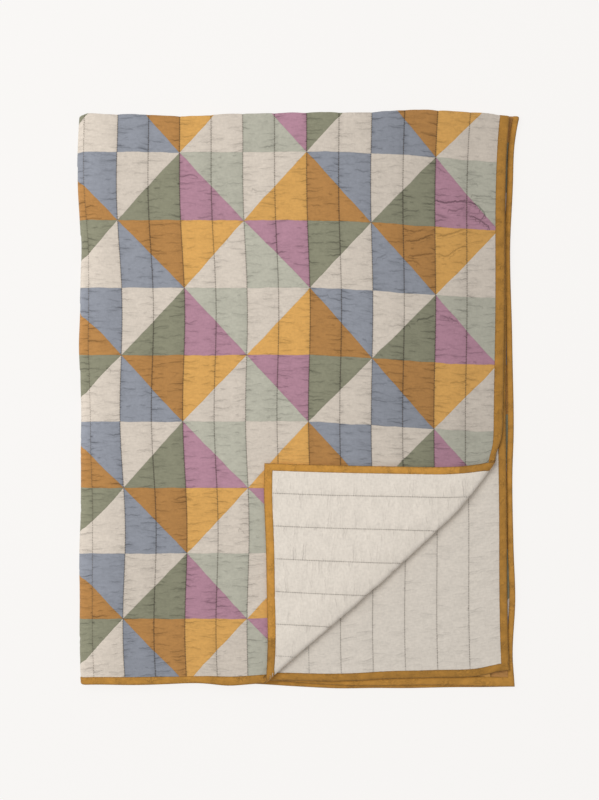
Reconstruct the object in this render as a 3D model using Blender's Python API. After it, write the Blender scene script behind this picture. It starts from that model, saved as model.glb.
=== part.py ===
"""A pieced quilt with a plain back and a bound edge, folded in four, one corner turned back.

The cloth is drawn flat in its own u (across) and v (along) metres, with n as the height over its
middle surface. fold() then lays it up: round the top fold, round the left fold, and the near
right corner of the uppermost layer over a diagonal. All sizes are in metres, +Z is up, and the
origin is under the middle of the folded blanket, on the surface that it lies on.
"""

import math

import bmesh
import bpy
import numpy as np

# The cloth as it was made
CLOTH_WIDTH = 1.4925
CLOTH_LENGTH = 1.982
CHANNEL = 0.0555  # between the quilting lines, which run along the cloth
FIRST_STITCH = 0.0655  # from the right edge to the first quilting line
PATCH_ROW = 0.1161
FIRST_ROW = 0.119  # from an end to the first row seam
STITCH_HALF = 0.0010  # half the cloth's thickness at a quilting line
CROWN_HALF = 0.0021  # and at the crown of a channel
CROWN_CHANGE = 0.0003  # how much the crowns differ from each other
CROWN_TURNS = (31.0, 47.0)  # how fast that change runs across and along the cloth
EDGE_HALF = 0.0013  # under the binding
FACE_GAP = 0.00015  # from the middle surface to the front, and to the backing
BINDING_WIDTH = 0.0155  # on the front
BINDING_BACK = 0.0125  # and on the backing
BINDING_HALF = 0.0026
BINDING_BULGE = 0.0013  # how far the binding stands out past the cloth's edge
BINDING_INSIDE = 0.0016
CLOTH_INSET = 0.001  # the cloth ends this far inside the fold of its binding
SEAM_CLEAR = 0.0004
NO_DISTANCE = 1e-6
HALVINGS = 24

# The folds
PITCH = 0.0058  # from one layer to the next
TOP_FOLD = 0.9963  # along the cloth, from its near end
LEFT_FOLD = 0.7525  # across the cloth, from its left edge
TOP_RADIUS = PITCH / 2
LEFT_RADIUS = PITCH
UNDER_HALF = 0.0025  # what the lowest layer's middle is above the surface
PRESSED_HALF = 0.0028  # the lowest layer is pressed flat, to this past its middle
FULL_X = 0.730  # from the left fold to the uppermost layer's right edge
FULL_Y = 0.992  # from the top fold to the near edge

# How the folded layers lie askew
UPPER_SKEW = 0.0166  # how far the grain of the upper pair runs past square at the top fold
LOWER_SKEW = 0.005
SKEW_FROM = 0.390  # across, from the left fold
SKEW_TO = 0.722
LEAN = 0.0157  # how far the outer layers' grain leans at the left fold, at the near edge
UPPER_FLARE = 0.006  # how far the right edges run out beside the top fold
LOWER_FLARE = 0.0135
FLARE_DEPTH = 0.060
WAVE_DEPTH = 0.110  # how far down a wave of the top fold is felt
CORNER_SAG = 0.004
CORNER_WIDE = 0.011
CORNER_DEPTH = 0.070
SWAY = 0.0035  # how far the grain sways to each side down the blanket
SWAY_LOST = 0.8  # the share of that which is lost by its right edge
SWAY_LENGTH = 0.384
SWAY_START = 0.229
SAG = 0.0075  # how far the patch rows sag at the middle of the blanket
TOP_BOW = 0.006  # how far the grain bows to the left beside the top fold
TOP_BOW_WIDE = 0.62
RIPPLE = 0.0012
RIPPLE_LENGTH = 0.270
LAYER_SHIFTS = {  # what each layer's near right corner is moved by, across and along
    "first": (-0.0227, 0.0),
    "second": (0.003, -0.006),
    "third": (0.004, 0.0),
    "fourth": (0.019, -0.001),
}
UPPER_WAVE = (  # the upper pair's top fold: across, rise
    (0.30, 0.0),
    (0.46, 0.003),
    (0.60, 0.0085),
    (0.68, 0.004),
    (0.735, -0.002),
)
LOWER_WAVE = ((0.50, 0.0), (0.68, 0.0), (0.75, -0.001))
NEAR_EDGES = {  # how each layer's near edge strays: across, rise
    "first": (
        (0.0, -0.001),
        (0.08, -0.002),
        (0.14, 0.0),
        (0.22, 0.002),
        (0.27, 0.0),
    ),
    "second": ((0.50, 0.0), (0.60, -0.0055), (0.67, -0.0057), (0.735, 0.007)),
    "third": ((0.20, 0.0), (0.30, -0.003), (0.40, -0.0088), (0.56, -0.0147), (0.735, -0.0178)),
    "fourth": (
        (0.0, -0.001),
        (0.10, 0.0),
        (0.21, 0.0047),
        (0.28, 0.0012),
        (0.35, -0.0038),
        (0.42, -0.0056),
        (0.49, -0.0034),
        (0.553, -0.0035),
        (0.66, 0.0002),
        (0.735, 0.003),
    ),
}
NEAR_CURL = (  # how far the outer layers' binding is drawn in: across, rise
    (0.0, 0.003),
    (0.11, 0.0022),
    (0.20, 0.0038),
    (0.26, 0.0),
)
CURL_DEPTH = 0.016
RIGHT_EDGES = {  # how each layer's right edge strays: down, outward
    "first": ((0.0, 0.0), (1.0, 0.0)),
    "second": ((0.74, 0.0), (0.85, 0.0014), (0.95, 0.0038), (1.0, 0.0052)),
    "third": (
        (0.04, -0.0024),
        (0.11, -0.0005),
        (0.233, -0.0044),
        (0.39, -0.0014),
        (0.55, 0.001),
        (0.61, -0.0016),
        (0.74, -0.001),
        (0.833, 0.0023),
        (0.935, -0.0019),
        (0.99, 0.0007),
    ),
}
RIGHT_EDGES["fourth"] = RIGHT_EDGES["third"]
LEFT_EDGE = (  # how the left fold strays: down, to the right
    (0.01, -0.0048),
    (0.05, -0.0042),
    (0.11, -0.0024),
    (0.17, 0.0009),
    (0.23, 0.0012),
    (0.27, -0.0020),
    (0.35, -0.0052),
    (0.39, -0.0050),
    (0.444, 0.0),
    (0.52, 0.0046),
    (0.59, 0.0017),
    (0.66, -0.0017),
    (0.74, -0.0050),
    (0.80, -0.0030),
    (0.86, 0.0008),
    (0.95, 0.0016),
    (0.99, 0.0005),
)
LEFT_WIDE = 0.045
TOP_EDGE = (  # how the top folds puff: across, rise
    (0.0, 0.0025),
    (0.03, 0.0008),
    (0.09, 0.0012),
    (0.15, -0.0026),
    (0.18, -0.0026),
    (0.25, 0.0010),
    (0.33, 0.0024),
    (0.41, 0.0027),
    (0.51, -0.0003),
    (0.57, 0.0007),
    (0.63, -0.0014),
    (0.70, 0.0),
)
TOP_DEPTH = 0.045
SWELL_LEFT = 0.07  # how much fuller the stack is at its folds
SWELL_TOP = 0.06
SWELL_REACH = 0.160
SWELL_WAVE = 0.02
SWELL_HUMPS = (2.3, 2.7)  # its half waves across and along the blanket

# The corner turned back over the diagonal
ROLL_RADIUS = 0.0045
SETTLE_RADIUS = 0.060  # the roll comes down to the layer below in this wide curve
CREASE_X = 0.5205  # a point of the diagonal, from the folds' own corner
CREASE_Y = -0.8049
CREASE_ANGLE = math.radians(42.5)
SLIDE = 0.103  # how far the turned corner is pulled askew, for each metre from the diagonal
FADE_BEFORE = 0.030
FADE_PAST = 0.060
CREASE_EDGE = (  # how the rolled edge strays from a straight diagonal: along, outward
    (-0.247, -0.004),
    (-0.104, 0.0007),
    (0.053, 0.0026),
    (0.209, -0.004),
    (0.255, -0.0125),
    (0.293, -0.020),
)

# From the folds' own corner to the origin under the middle of the blanket
FOLD_CORNER = (-0.37042, 0.49288)

LEFT_STEPS = 6  # flat faces round each fold
TOP_STEPS = 4
ROLL_STEPS = 4

SETTLE_ANGLE = math.acos(1 - (2 * ROLL_RADIUS - PITCH) / (ROLL_RADIUS + SETTLE_RADIUS))
ROLL_LENGTH = ROLL_RADIUS * (math.pi + SETTLE_ANGLE)
SETTLE_LENGTH = SETTLE_RADIUS * SETTLE_ANGLE
TAKEN_UP = (ROLL_RADIUS + SETTLE_RADIUS) * (SETTLE_ANGLE - math.sin(SETTLE_ANGLE))
ROLL_START = -(math.pi * ROLL_RADIUS + TAKEN_UP) / 2

# Where the flat faces round each bend meet, as angles, and as lengths round the rolled edge
LEFT_CUTS = np.linspace(-math.pi / 2, math.pi / 2, LEFT_STEPS + 1)
TOP_CUTS = np.linspace(-math.pi / 2, math.pi / 2, TOP_STEPS + 1)
ROLL_CUTS = np.append(np.linspace(0.0, ROLL_LENGTH, ROLL_STEPS + 1), ROLL_LENGTH + SETTLE_LENGTH)
CUTS_BEFORE_ROLL = (-0.045, -0.018)
CUTS_PAST_ROLL = (0.080,)


def ease(share):
    """From 0 to 1 with no corner at either end."""
    share = np.clip(share, 0.0, 1.0)
    return share * share * (3 - 2 * share)


def through(places, rows):
    """The smooth curve through a short table's rows, read at each place and level past its ends."""
    at = np.array([row[0] for row in rows])
    height = np.array([row[1] for row in rows])
    slope = np.gradient(height, at)
    slope[0] = 0.0
    slope[-1] = 0.0
    places = np.clip(places, at[0], at[-1])
    k = np.clip(np.searchsorted(at, places) - 1, 0, len(at) - 2)
    wide = at[k + 1] - at[k]
    s = (places - at[k]) / wide
    start = height[k] * (1 + 2 * s) * (1 - s) ** 2 + slope[k] * wide * s * (1 - s) ** 2
    end = height[k + 1] * s * s * (3 - 2 * s) - slope[k + 1] * wide * s * s * (1 - s)
    return start + end


def unroll(u, v):
    """How far each point of the flat cloth lies past the left fold and past the top fold."""
    across = u - LEFT_FOLD
    along = v - TOP_FOLD
    for _ in range(4):
        skew = np.where(across > 0, UPPER_SKEW, LOWER_SKEW)
        share = ease((np.abs(across) - SKEW_FROM) / (SKEW_TO - SKEW_FROM))
        along = v - TOP_FOLD - skew * share
        across = u - LEFT_FOLD + LEAN * np.clip(-along / TOP_FOLD, 0.0, 1.0)
    return across, along


def askew(x, y, across, along):
    """Where a point of a layer really lies, for its place in a stack that is folded square."""
    right = np.clip(x / FULL_X, 0.0, 1.1)
    depth = np.clip(-y, 0.0, None)
    down = np.clip(depth / FULL_Y, 0.0, 1.1)
    upper = across > 0
    outer = along < 0
    layers = (
        ("first", upper & outer),
        ("second", upper & ~outer),
        ("third", ~upper & ~outer),
        ("fourth", ~upper & outer),
    )
    new_x = x.copy()
    new_y = y.copy()
    for name, inside in layers:
        shift = LAYER_SHIFTS[name]
        new_x += np.where(inside, shift[0] * right * down, 0.0)
        new_y += np.where(inside, shift[1] * right * down, 0.0)
        new_x += np.where(inside, through(down, RIGHT_EDGES[name]) * right**3, 0.0)
        new_y += np.where(inside, through(x, NEAR_EDGES[name]) * down * down, 0.0)
    curl = through(x, NEAR_CURL) * ease(1 - (FULL_Y - depth) / CURL_DEPTH)
    new_y += np.where(outer, curl, 0.0)
    new_x += through(down, LEFT_EDGE) * ease(1 - (x + LEFT_RADIUS + TOP_RADIUS) / LEFT_WIDE)
    new_y += through(x, TOP_EDGE) * np.exp(-depth / TOP_DEPTH)
    flare = np.where(upper, UPPER_FLARE, LOWER_FLARE)
    new_x += flare * right**3 * np.exp(-depth / FLARE_DEPTH)
    wave = np.where(upper, through(x, UPPER_WAVE), through(x, LOWER_WAVE))
    new_y += wave * np.exp(-depth / WAVE_DEPTH)
    sag = ease(1 - (x + LEFT_RADIUS + TOP_RADIUS) / CORNER_WIDE)
    new_y -= CORNER_SAG * sag * np.exp(-depth / CORNER_DEPTH)
    sway = np.sin(2 * math.pi * (depth - SWAY_START) / SWAY_LENGTH)
    new_x += SWAY * sway * (1 - SWAY_LOST * right)
    bow = np.sin(math.pi * np.clip(x / TOP_BOW_WIDE, 0.0, 1.0))
    new_x -= TOP_BOW * bow * np.exp(-depth / WAVE_DEPTH)
    new_y -= SAG * np.sin(math.pi * np.clip(down, 0.0, 1.0))
    new_y += RIPPLE * np.sin(2 * math.pi * np.clip(x, 0.0, None) / RIPPLE_LENGTH) * down
    return new_x, new_y


def from_crease(x, y):
    """How far a point is past the diagonal, and how far along it."""
    over_x = x - CREASE_X
    over_y = y - CREASE_Y
    past = over_x * math.sin(CREASE_ANGLE) - over_y * math.cos(CREASE_ANGLE)
    along = over_x * math.cos(CREASE_ANGLE) + over_y * math.sin(CREASE_ANGLE)
    return past, along


def roll_profile(s):
    """The rolled edge's section: how far out and up it is, and its heading, at a length round it."""
    turn = np.minimum(s / ROLL_RADIUS, math.pi + SETTLE_ANGLE)
    settled = np.clip((s - ROLL_LENGTH) / SETTLE_RADIUS, 0.0, SETTLE_ANGLE)
    left = SETTLE_ANGLE - settled
    out = ROLL_RADIUS * np.sin(turn) - SETTLE_RADIUS * (math.sin(SETTLE_ANGLE) - np.sin(left))
    rise = ROLL_RADIUS * (1 - np.cos(turn)) - SETTLE_RADIUS * (np.cos(left) - math.cos(SETTLE_ANGLE))
    return out, rise, turn - settled


def turn_back(x, y, n):
    """The corner past the diagonal, rolled up and over, and laid on the layer that it came from."""
    past, along = from_crease(x, y)
    s = np.clip(past - ROLL_START, 0.0, None)
    at_out, at_rise, at_heading = roll_profile(ROLL_CUTS)
    out = np.interp(s, ROLL_CUTS, at_out) - n * np.interp(s, ROLL_CUTS, np.sin(at_heading))
    rise = np.interp(s, ROLL_CUTS, at_rise) + n * np.interp(s, ROLL_CUTS, np.cos(at_heading))
    out -= np.clip(s - ROLL_CUTS[-1], 0.0, None)
    fade = np.where(past > 0, FADE_PAST, FADE_BEFORE)
    stray = through(along, CREASE_EDGE) * np.exp(-((past / fade) ** 2))
    along = along - SLIDE * np.clip(past, 0.0, None)
    place = np.where(past > ROLL_START, ROLL_START + out, past) + stray
    new_x = CREASE_X + place * math.sin(CREASE_ANGLE) + along * math.cos(CREASE_ANGLE)
    new_y = CREASE_Y - place * math.cos(CREASE_ANGLE) + along * math.sin(CREASE_ANGLE)
    return new_x, new_y, np.where(past > ROLL_START, rise, n)


def swell(x, y):
    """How much thicker the stack lies here than where it is flattest."""
    left = SWELL_LEFT * np.exp(-np.clip(x, 0.0, None) / SWELL_REACH)
    top = SWELL_TOP * np.exp(-np.clip(-y, 0.0, None) / SWELL_REACH)
    wave = np.sin(math.pi * x / FULL_X * SWELL_HUMPS[0])
    wave *= np.cos(math.pi * y / FULL_Y * SWELL_HUMPS[1])
    return 1 + left + top + SWELL_WAVE * wave


def fold(points):
    """Points of the flat cloth, as u, v and n, laid up into the folded blanket."""
    u, v, n = np.asarray(points, dtype=float).T
    across, along = unroll(u, v)
    angle = np.clip(along / TOP_RADIUS, -math.pi / 2, math.pi / 2)
    y = (TOP_RADIUS + n) * np.interp(angle, TOP_CUTS, np.cos(TOP_CUTS))
    y -= np.abs(along - angle * TOP_RADIUS)
    lift = -(TOP_RADIUS + n) * np.interp(angle, TOP_CUTS, np.sin(TOP_CUTS))
    turn = np.clip(across / LEFT_RADIUS, -math.pi / 2, math.pi / 2)
    x = np.abs(across - turn * LEFT_RADIUS)
    x -= (LEFT_RADIUS + lift) * np.interp(turn, LEFT_CUTS, np.cos(LEFT_CUTS))
    z = (LEFT_RADIUS + lift) * np.interp(turn, LEFT_CUTS, np.sin(LEFT_CUTS))
    x, y = askew(x, y, across, along)
    first = (across > LEFT_RADIUS * math.pi / 2) & (along < -TOP_RADIUS * math.pi / 2)
    middle = LEFT_RADIUS + TOP_RADIUS
    turned_x, turned_y, height = turn_back(x, y, n)
    x = np.where(first, turned_x, x)
    y = np.where(first, turned_y, y)
    z = np.where(first, middle + height, z)
    z = np.clip(z + middle + UNDER_HALF, 0.0, None) * swell(x, y)
    return np.stack([x + FOLD_CORNER[0], y + FOLD_CORNER[1], z], axis=1)


def past_crease(points):
    """How far points of the flat cloth lie past the diagonal."""
    u, v, _ = np.asarray(points, dtype=float).T
    across, along = unroll(u, v)
    x = across - LEFT_RADIUS * math.pi / 2
    y = along + TOP_RADIUS * math.pi / 2
    x, y = askew(x, y, np.abs(across), -np.abs(along))
    return from_crease(x, y)[0]


def past_left(points):
    return unroll(points[:, 0], points[:, 1])[0]


def past_top(points):
    return unroll(points[:, 0], points[:, 1])[1]


def cut_along(bm, field, level):
    """Cut a flat solid's faces where a field over the cloth passes a level.

    Halving finds each place on its edge, because the field isn't quite even along an edge.
    """
    verts = list(bm.verts)
    values = field(np.array([v.co for v in verts])) - level
    side = {v: 0 if abs(value) < NO_DISTANCE else value for v, value in zip(verts, values)}
    crossed = [edge for edge in bm.edges if side[edge.verts[0]] * side[edge.verts[1]] < 0]
    if not crossed:
        return
    start = np.array([edge.verts[0].co for edge in crossed])
    way = np.array([edge.verts[1].co for edge in crossed]) - start
    low = np.zeros(len(crossed))
    high = np.ones(len(crossed))
    rising = np.array([side[edge.verts[1]] > 0 for edge in crossed])
    for _ in range(HALVINGS):
        share = (low + high) / 2
        past = (field(start + way * share[:, None]) > level) == rising
        high = np.where(past, share, high)
        low = np.where(past, low, share)
    for edge, share in zip(crossed, (low + high) / 2):
        _, new = bmesh.utils.edge_split(edge, edge.verts[0], share)
        side[new] = 0
    for face in list(bm.faces):
        on = [v for v in face.verts if side[v] == 0]
        signs = {side[v] > 0 for v in face.verts if side[v] != 0}
        if len(on) == 2 and len(signs) == 2:
            bmesh.utils.face_split(face, on[0], on[1])


def fold_solid(bm, name, colour):
    """Cut a flat solid where the folds bend it, fold it up and keep it as an object."""
    for angle in LEFT_CUTS:
        cut_along(bm, past_left, LEFT_RADIUS * angle)
    for angle in TOP_CUTS:
        cut_along(bm, past_top, TOP_RADIUS * angle)
    for length in [*CUTS_BEFORE_ROLL, *ROLL_CUTS, *CUTS_PAST_ROLL]:
        cut_along(bm, past_crease, ROLL_START + length)
    bmesh.ops.triangulate(bm, faces=bm.faces)
    places = fold(np.array([v.co for v in bm.verts]))
    for v, place in zip(bm.verts, places):
        v.co = place
    mesh = bpy.data.meshes.new(name)
    bm.to_mesh(mesh)
    bm.free()
    material = bpy.data.materials.new(name)
    material.use_nodes = True
    shader = material.node_tree.nodes["Principled BSDF"]
    shader.inputs["Base Color"].default_value = (*colour, 1.0)
    shader.inputs["Roughness"].default_value = 0.9
    shader.inputs["Metallic"].default_value = 0.0
    mesh.materials.append(material)
    obj = bpy.data.objects.new(name, mesh)
    bpy.context.scene.collection.objects.link(obj)
    return obj


def stitch_lines():
    """Where the quilting lines run, across the cloth from its left edge."""
    count = int((CLOTH_WIDTH - FIRST_STITCH - 2 * BINDING_WIDTH) / CHANNEL) + 1
    return sorted(CLOTH_WIDTH - FIRST_STITCH - k * CHANNEL for k in range(count))


def row_lines():
    """Where the solids have a row of points, along the cloth from its near end."""
    count = int((CLOTH_LENGTH - 2 * FIRST_ROW) / PATCH_ROW) + 2
    return [FIRST_ROW + k * (CLOTH_LENGTH - 2 * FIRST_ROW) / (count - 1) for k in range(count)]


def half_thickness(u, v, is_crown, covered):
    """Half the cloth's thickness: low at a quilting line and full at the crown of a channel."""
    if min(u, v, CLOTH_WIDTH - u, CLOTH_LENGTH - v) < covered + 2 * SEAM_CLEAR:
        return EDGE_HALF
    if not is_crown:
        return STITCH_HALF
    return CROWN_HALF + CROWN_CHANGE * math.sin(u * CROWN_TURNS[0] + v * CROWN_TURNS[1])


def make_cloth(name, face, colour):
    """One face of the quilt as a closed sheet: face is 1 for the front and -1 for the backing."""
    stitches = stitch_lines()
    covered = BINDING_WIDTH if face > 0 else BINDING_BACK
    inside = covered + SEAM_CLEAR
    plain = [CLOTH_INSET, inside, *stitches, CLOTH_WIDTH - inside, CLOTH_WIDTH - CLOTH_INSET]
    ends = [inside, *stitches, CLOTH_WIDTH - inside]
    crowns = {(a + b) / 2 for a, b in zip(ends, ends[1:])}
    columns = sorted([*plain, *crowns])
    rows = [CLOTH_INSET, inside, *row_lines(), CLOTH_LENGTH - inside, CLOTH_LENGTH - CLOTH_INSET]

    bm = bmesh.new()
    outer = {}
    inner = {}
    for v in rows:
        for u in columns:
            half = half_thickness(u, v, u in crowns, covered)
            pressed = u < LEFT_FOLD and v < TOP_FOLD and face > 0 and half != EDGE_HALF
            outer[u, v] = bm.verts.new((u, v, face * (PRESSED_HALF if pressed else half)))
        for u in plain:
            inner[u, v] = bm.verts.new((u, v, face * FACE_GAP))

    def add(corners):
        bm.faces.new(corners if face > 0 else corners[::-1])

    for v, w in zip(rows, rows[1:]):
        for a, b in zip(columns, columns[1:]):
            add([outer[a, v], outer[b, v], outer[b, w], outer[a, w]])
        for a, b in zip(plain, plain[1:]):
            add([inner[a, w], inner[b, w], inner[b, v], inner[a, v]])
        left, right = plain[0], plain[-1]
        add([outer[left, w], inner[left, w], inner[left, v], outer[left, v]])
        add([outer[right, v], inner[right, v], inner[right, w], outer[right, w]])
    for a, b in zip(plain, plain[1:]):
        between = [u for u in columns if a <= u <= b]
        near, far = rows[0], rows[-1]
        add([inner[a, near], inner[b, near], *(outer[u, near] for u in between[::-1])])
        add([inner[b, far], inner[a, far], *(outer[u, far] for u in between)])
    return fold_solid(bm, name, colour)


def make_binding(name, colour):
    """The binding: a strip folded over the cloth's edge all the way round, with mitred corners."""
    section = (  # in from the cloth's edge, over its middle surface
        (BINDING_WIDTH, BINDING_HALF),
        (BINDING_BULGE, BINDING_HALF),
        (-BINDING_BULGE, 0.0),
        (BINDING_BULGE, -BINDING_HALF),
        (BINDING_BACK, -BINDING_HALF),
        (BINDING_BACK, -BINDING_INSIDE),
        (0.0, -BINDING_INSIDE),
        (0.0, BINDING_INSIDE),
        (BINDING_WIDTH, BINDING_INSIDE),
    )
    stitches = stitch_lines()
    rows = row_lines()

    def near(e):
        return [(e, e), *((u, e) for u in stitches)]

    def right(e):
        return [(CLOTH_WIDTH - e, e), *((CLOTH_WIDTH - e, v) for v in rows)]

    def far(e):
        corner = (CLOTH_WIDTH - e, CLOTH_LENGTH - e)
        return [corner, *((u, CLOTH_LENGTH - e) for u in stitches[::-1])]

    def left(e):
        return [(e, CLOTH_LENGTH - e), *((e, v) for v in rows[::-1])]

    bm = bmesh.new()
    strands = []
    for e, n in section:
        round_cloth = near(e) + right(e) + far(e) + left(e)
        strands.append([bm.verts.new((u, v, n)) for u, v in round_cloth])
    count = len(strands[0])
    for k, strand in enumerate(strands):
        following = strands[(k + 1) % len(strands)]
        for i in range(count):
            j = (i + 1) % count
            bm.faces.new([strand[j], strand[i], following[i], following[j]])
    return fold_solid(bm, name, colour)


def main():
    for obj in list(bpy.data.objects):
        bpy.data.objects.remove(obj)
    make_cloth("quilt_front", 1, (0.42, 0.35, 0.26))
    make_cloth("quilt_backing", -1, (0.72, 0.66, 0.58))
    make_binding("edge_binding", (0.42, 0.22, 0.06))


if __name__ == "__main__":
    main()
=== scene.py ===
"""The looks of a pieced quilt that is folded in four, with one corner of its top layer turned back.

The cloth is drawn flat in its own u (across) and v (along) metres, with n as the height over its
middle surface, and fold() lays it up. Each piece keeps its flat places as texture coordinates, so
the patchwork, the quilting and the weave follow the cloth round every fold.
"""

import math

import bmesh
import bpy
import numpy as np
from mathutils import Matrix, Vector


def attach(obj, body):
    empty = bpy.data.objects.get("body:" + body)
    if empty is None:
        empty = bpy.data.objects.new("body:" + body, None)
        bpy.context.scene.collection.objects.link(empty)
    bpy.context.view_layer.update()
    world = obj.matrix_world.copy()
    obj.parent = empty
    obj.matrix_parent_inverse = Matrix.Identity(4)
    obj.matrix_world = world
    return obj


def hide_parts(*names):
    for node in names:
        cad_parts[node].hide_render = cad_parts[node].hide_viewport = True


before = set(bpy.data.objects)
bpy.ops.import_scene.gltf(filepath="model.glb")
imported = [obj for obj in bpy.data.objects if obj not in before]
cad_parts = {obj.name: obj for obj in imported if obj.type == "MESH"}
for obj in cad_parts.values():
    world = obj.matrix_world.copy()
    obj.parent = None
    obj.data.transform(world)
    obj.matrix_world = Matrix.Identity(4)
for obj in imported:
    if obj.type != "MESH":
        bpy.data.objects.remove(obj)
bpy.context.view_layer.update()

bl_info = {
    "name": "Folded patchwork quilt",
    "version": (1, 0, 0),
    "blender": (4, 5, 0),
    "location": "3D View > Sidebar > Quilt",
    "description": "Makes a folded patchwork quilt with its stitching, backing and bound edge",
    "category": "Object",
}

# The cloth as it was made, in metres
CLOTH_WIDTH = 1.4925
CLOTH_LENGTH = 1.982
CHANNEL = 0.0555  # between the quilting lines, which run along the cloth
FIRST_STITCH = 0.0655  # from the right edge to the first quilting line
PATCH_ROW = 0.1161
FIRST_ROW = 0.119  # from the near end to the first row seam
FIRST_SEAM = CLOTH_WIDTH - FIRST_STITCH - CHANNEL  # the first column seam, from the left edge
BACK_FIRST = 0.0551  # on the turned corner the photograph's lines start nearer the edge
BACK_CHANNEL = 0.0619  # and lie further apart, so there they don't meet the front's
STITCH_HALF = 0.0010  # half the cloth's thickness at a quilting line
CROWN_HALF = 0.0021  # and at the crown of a channel
EDGE_HALF = 0.0013  # under the binding
THINNEST = 0.0003  # at the floor of the deepest crease
BINDING_WIDTH = 0.0155  # on the front
BINDING_BACK = 0.0125  # and on the backing
BINDING_LEFT_SHARE = 0.6  # the front binding's width along the cloth's left edge
CLOTH_INSET = 0.001
FRONT_LINES = {"First": CLOTH_WIDTH - FIRST_STITCH, "Channel": CHANNEL}

# The folds
PITCH = 0.0058  # from one layer to the next
TOP_FOLD = 0.9963
LEFT_FOLD = 0.7525
TOP_RADIUS = PITCH / 2
LEFT_RADIUS = PITCH
UNDER_HALF = 0.0025
UNROLL_ROUNDS = 4
FULL_X = 0.730
FULL_Y = 0.992

# How the folded layers lie askew
UPPER_SKEW = 0.0166
LOWER_SKEW = 0.005
SKEW_FROM = 0.390
SKEW_TO = 0.722
LEAN = 0.0157
UPPER_FLARE = 0.006
LOWER_FLARE = 0.0135
FLARE_DEPTH = 0.060
WAVE_DEPTH = 0.110
CORNER_SAG = 0.004
CORNER_WIDE = 0.011
CORNER_DEPTH = 0.070
SWAY = 0.0035
SWAY_LOST = 0.8
SWAY_LENGTH = 0.384
SWAY_START = 0.229
SAG = 0.0075
TOP_BOW = 0.006
TOP_BOW_WIDE = 0.62
RIPPLE = 0.0012
RIPPLE_LENGTH = 0.270
PAST_EDGE = 1.1  # the layers stray more from the folds outward, up to this share of the full size
LAYER_SHIFTS = {  # what each layer's near right corner is moved by, across and along
    "first": (-0.0227, 0.0),
    "second": (0.003, -0.006),
    "third": (0.004, 0.0),
    "fourth": (0.019, -0.001),
}
UPPER_WAVE = (  # the upper pair's top fold: across, rise
    (0.30, 0.0),
    (0.46, 0.003),
    (0.60, 0.0085),
    (0.68, 0.004),
    (0.735, -0.002),
)
LOWER_WAVE = ((0.50, 0.0), (0.68, 0.0), (0.75, -0.001))
NEAR_EDGES = {  # how each layer's near edge strays: across, rise
    "first": (
        (0.0, -0.001),
        (0.08, -0.002),
        (0.14, 0.0),
        (0.22, 0.002),
        (0.27, 0.0),
    ),
    "second": ((0.50, 0.0), (0.60, -0.0055), (0.67, -0.0057), (0.735, 0.007)),
    "third": ((0.20, 0.0), (0.30, -0.003), (0.40, -0.0088), (0.56, -0.0147), (0.735, -0.0178)),
    "fourth": (
        (0.0, -0.001),
        (0.10, 0.0),
        (0.21, 0.0047),
        (0.28, 0.0012),
        (0.35, -0.0038),
        (0.42, -0.0056),
        (0.49, -0.0034),
        (0.553, -0.0035),
        (0.66, 0.0002),
        (0.735, 0.003),
    ),
}
NEAR_CURL = (  # how far the outer layers' binding is drawn in: across, rise
    (0.0, 0.003),
    (0.11, 0.0022),
    (0.20, 0.0038),
    (0.26, 0.0),
)
CURL_DEPTH = 0.016
RIGHT_EDGES = {  # how each layer's right edge strays: down, outward
    "first": ((0.0, 0.0), (1.0, 0.0)),
    "second": ((0.74, 0.0), (0.85, 0.0014), (0.95, 0.0038), (1.0, 0.0052)),
    "third": (
        (0.04, -0.0024),
        (0.11, -0.0005),
        (0.233, -0.0044),
        (0.39, -0.0014),
        (0.55, 0.001),
        (0.61, -0.0016),
        (0.74, -0.001),
        (0.833, 0.0023),
        (0.935, -0.0019),
        (0.99, 0.0007),
    ),
}
RIGHT_EDGES["fourth"] = RIGHT_EDGES["third"]
LEFT_EDGE = (  # how the left fold strays: down, to the right
    (0.01, -0.0048),
    (0.05, -0.0042),
    (0.11, -0.0024),
    (0.17, 0.0009),
    (0.23, 0.0012),
    (0.27, -0.0020),
    (0.35, -0.0052),
    (0.39, -0.0050),
    (0.444, 0.0),
    (0.52, 0.0046),
    (0.59, 0.0017),
    (0.66, -0.0017),
    (0.74, -0.0050),
    (0.80, -0.0030),
    (0.86, 0.0008),
    (0.95, 0.0016),
    (0.99, 0.0005),
)
LEFT_WIDE = 0.045
TOP_EDGE = (  # how the top folds puff: across, rise
    (0.0, 0.0025),
    (0.03, 0.0008),
    (0.09, 0.0012),
    (0.15, -0.0026),
    (0.18, -0.0026),
    (0.25, 0.0010),
    (0.33, 0.0024),
    (0.41, 0.0027),
    (0.51, -0.0003),
    (0.57, 0.0007),
    (0.63, -0.0014),
    (0.70, 0.0),
)
TOP_DEPTH = 0.045
SWELL_LEFT = 0.07
SWELL_TOP = 0.06
SWELL_REACH = 0.160
SWELL_WAVE = 0.02
SWELL_HUMPS = (2.3, 2.7)

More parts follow.
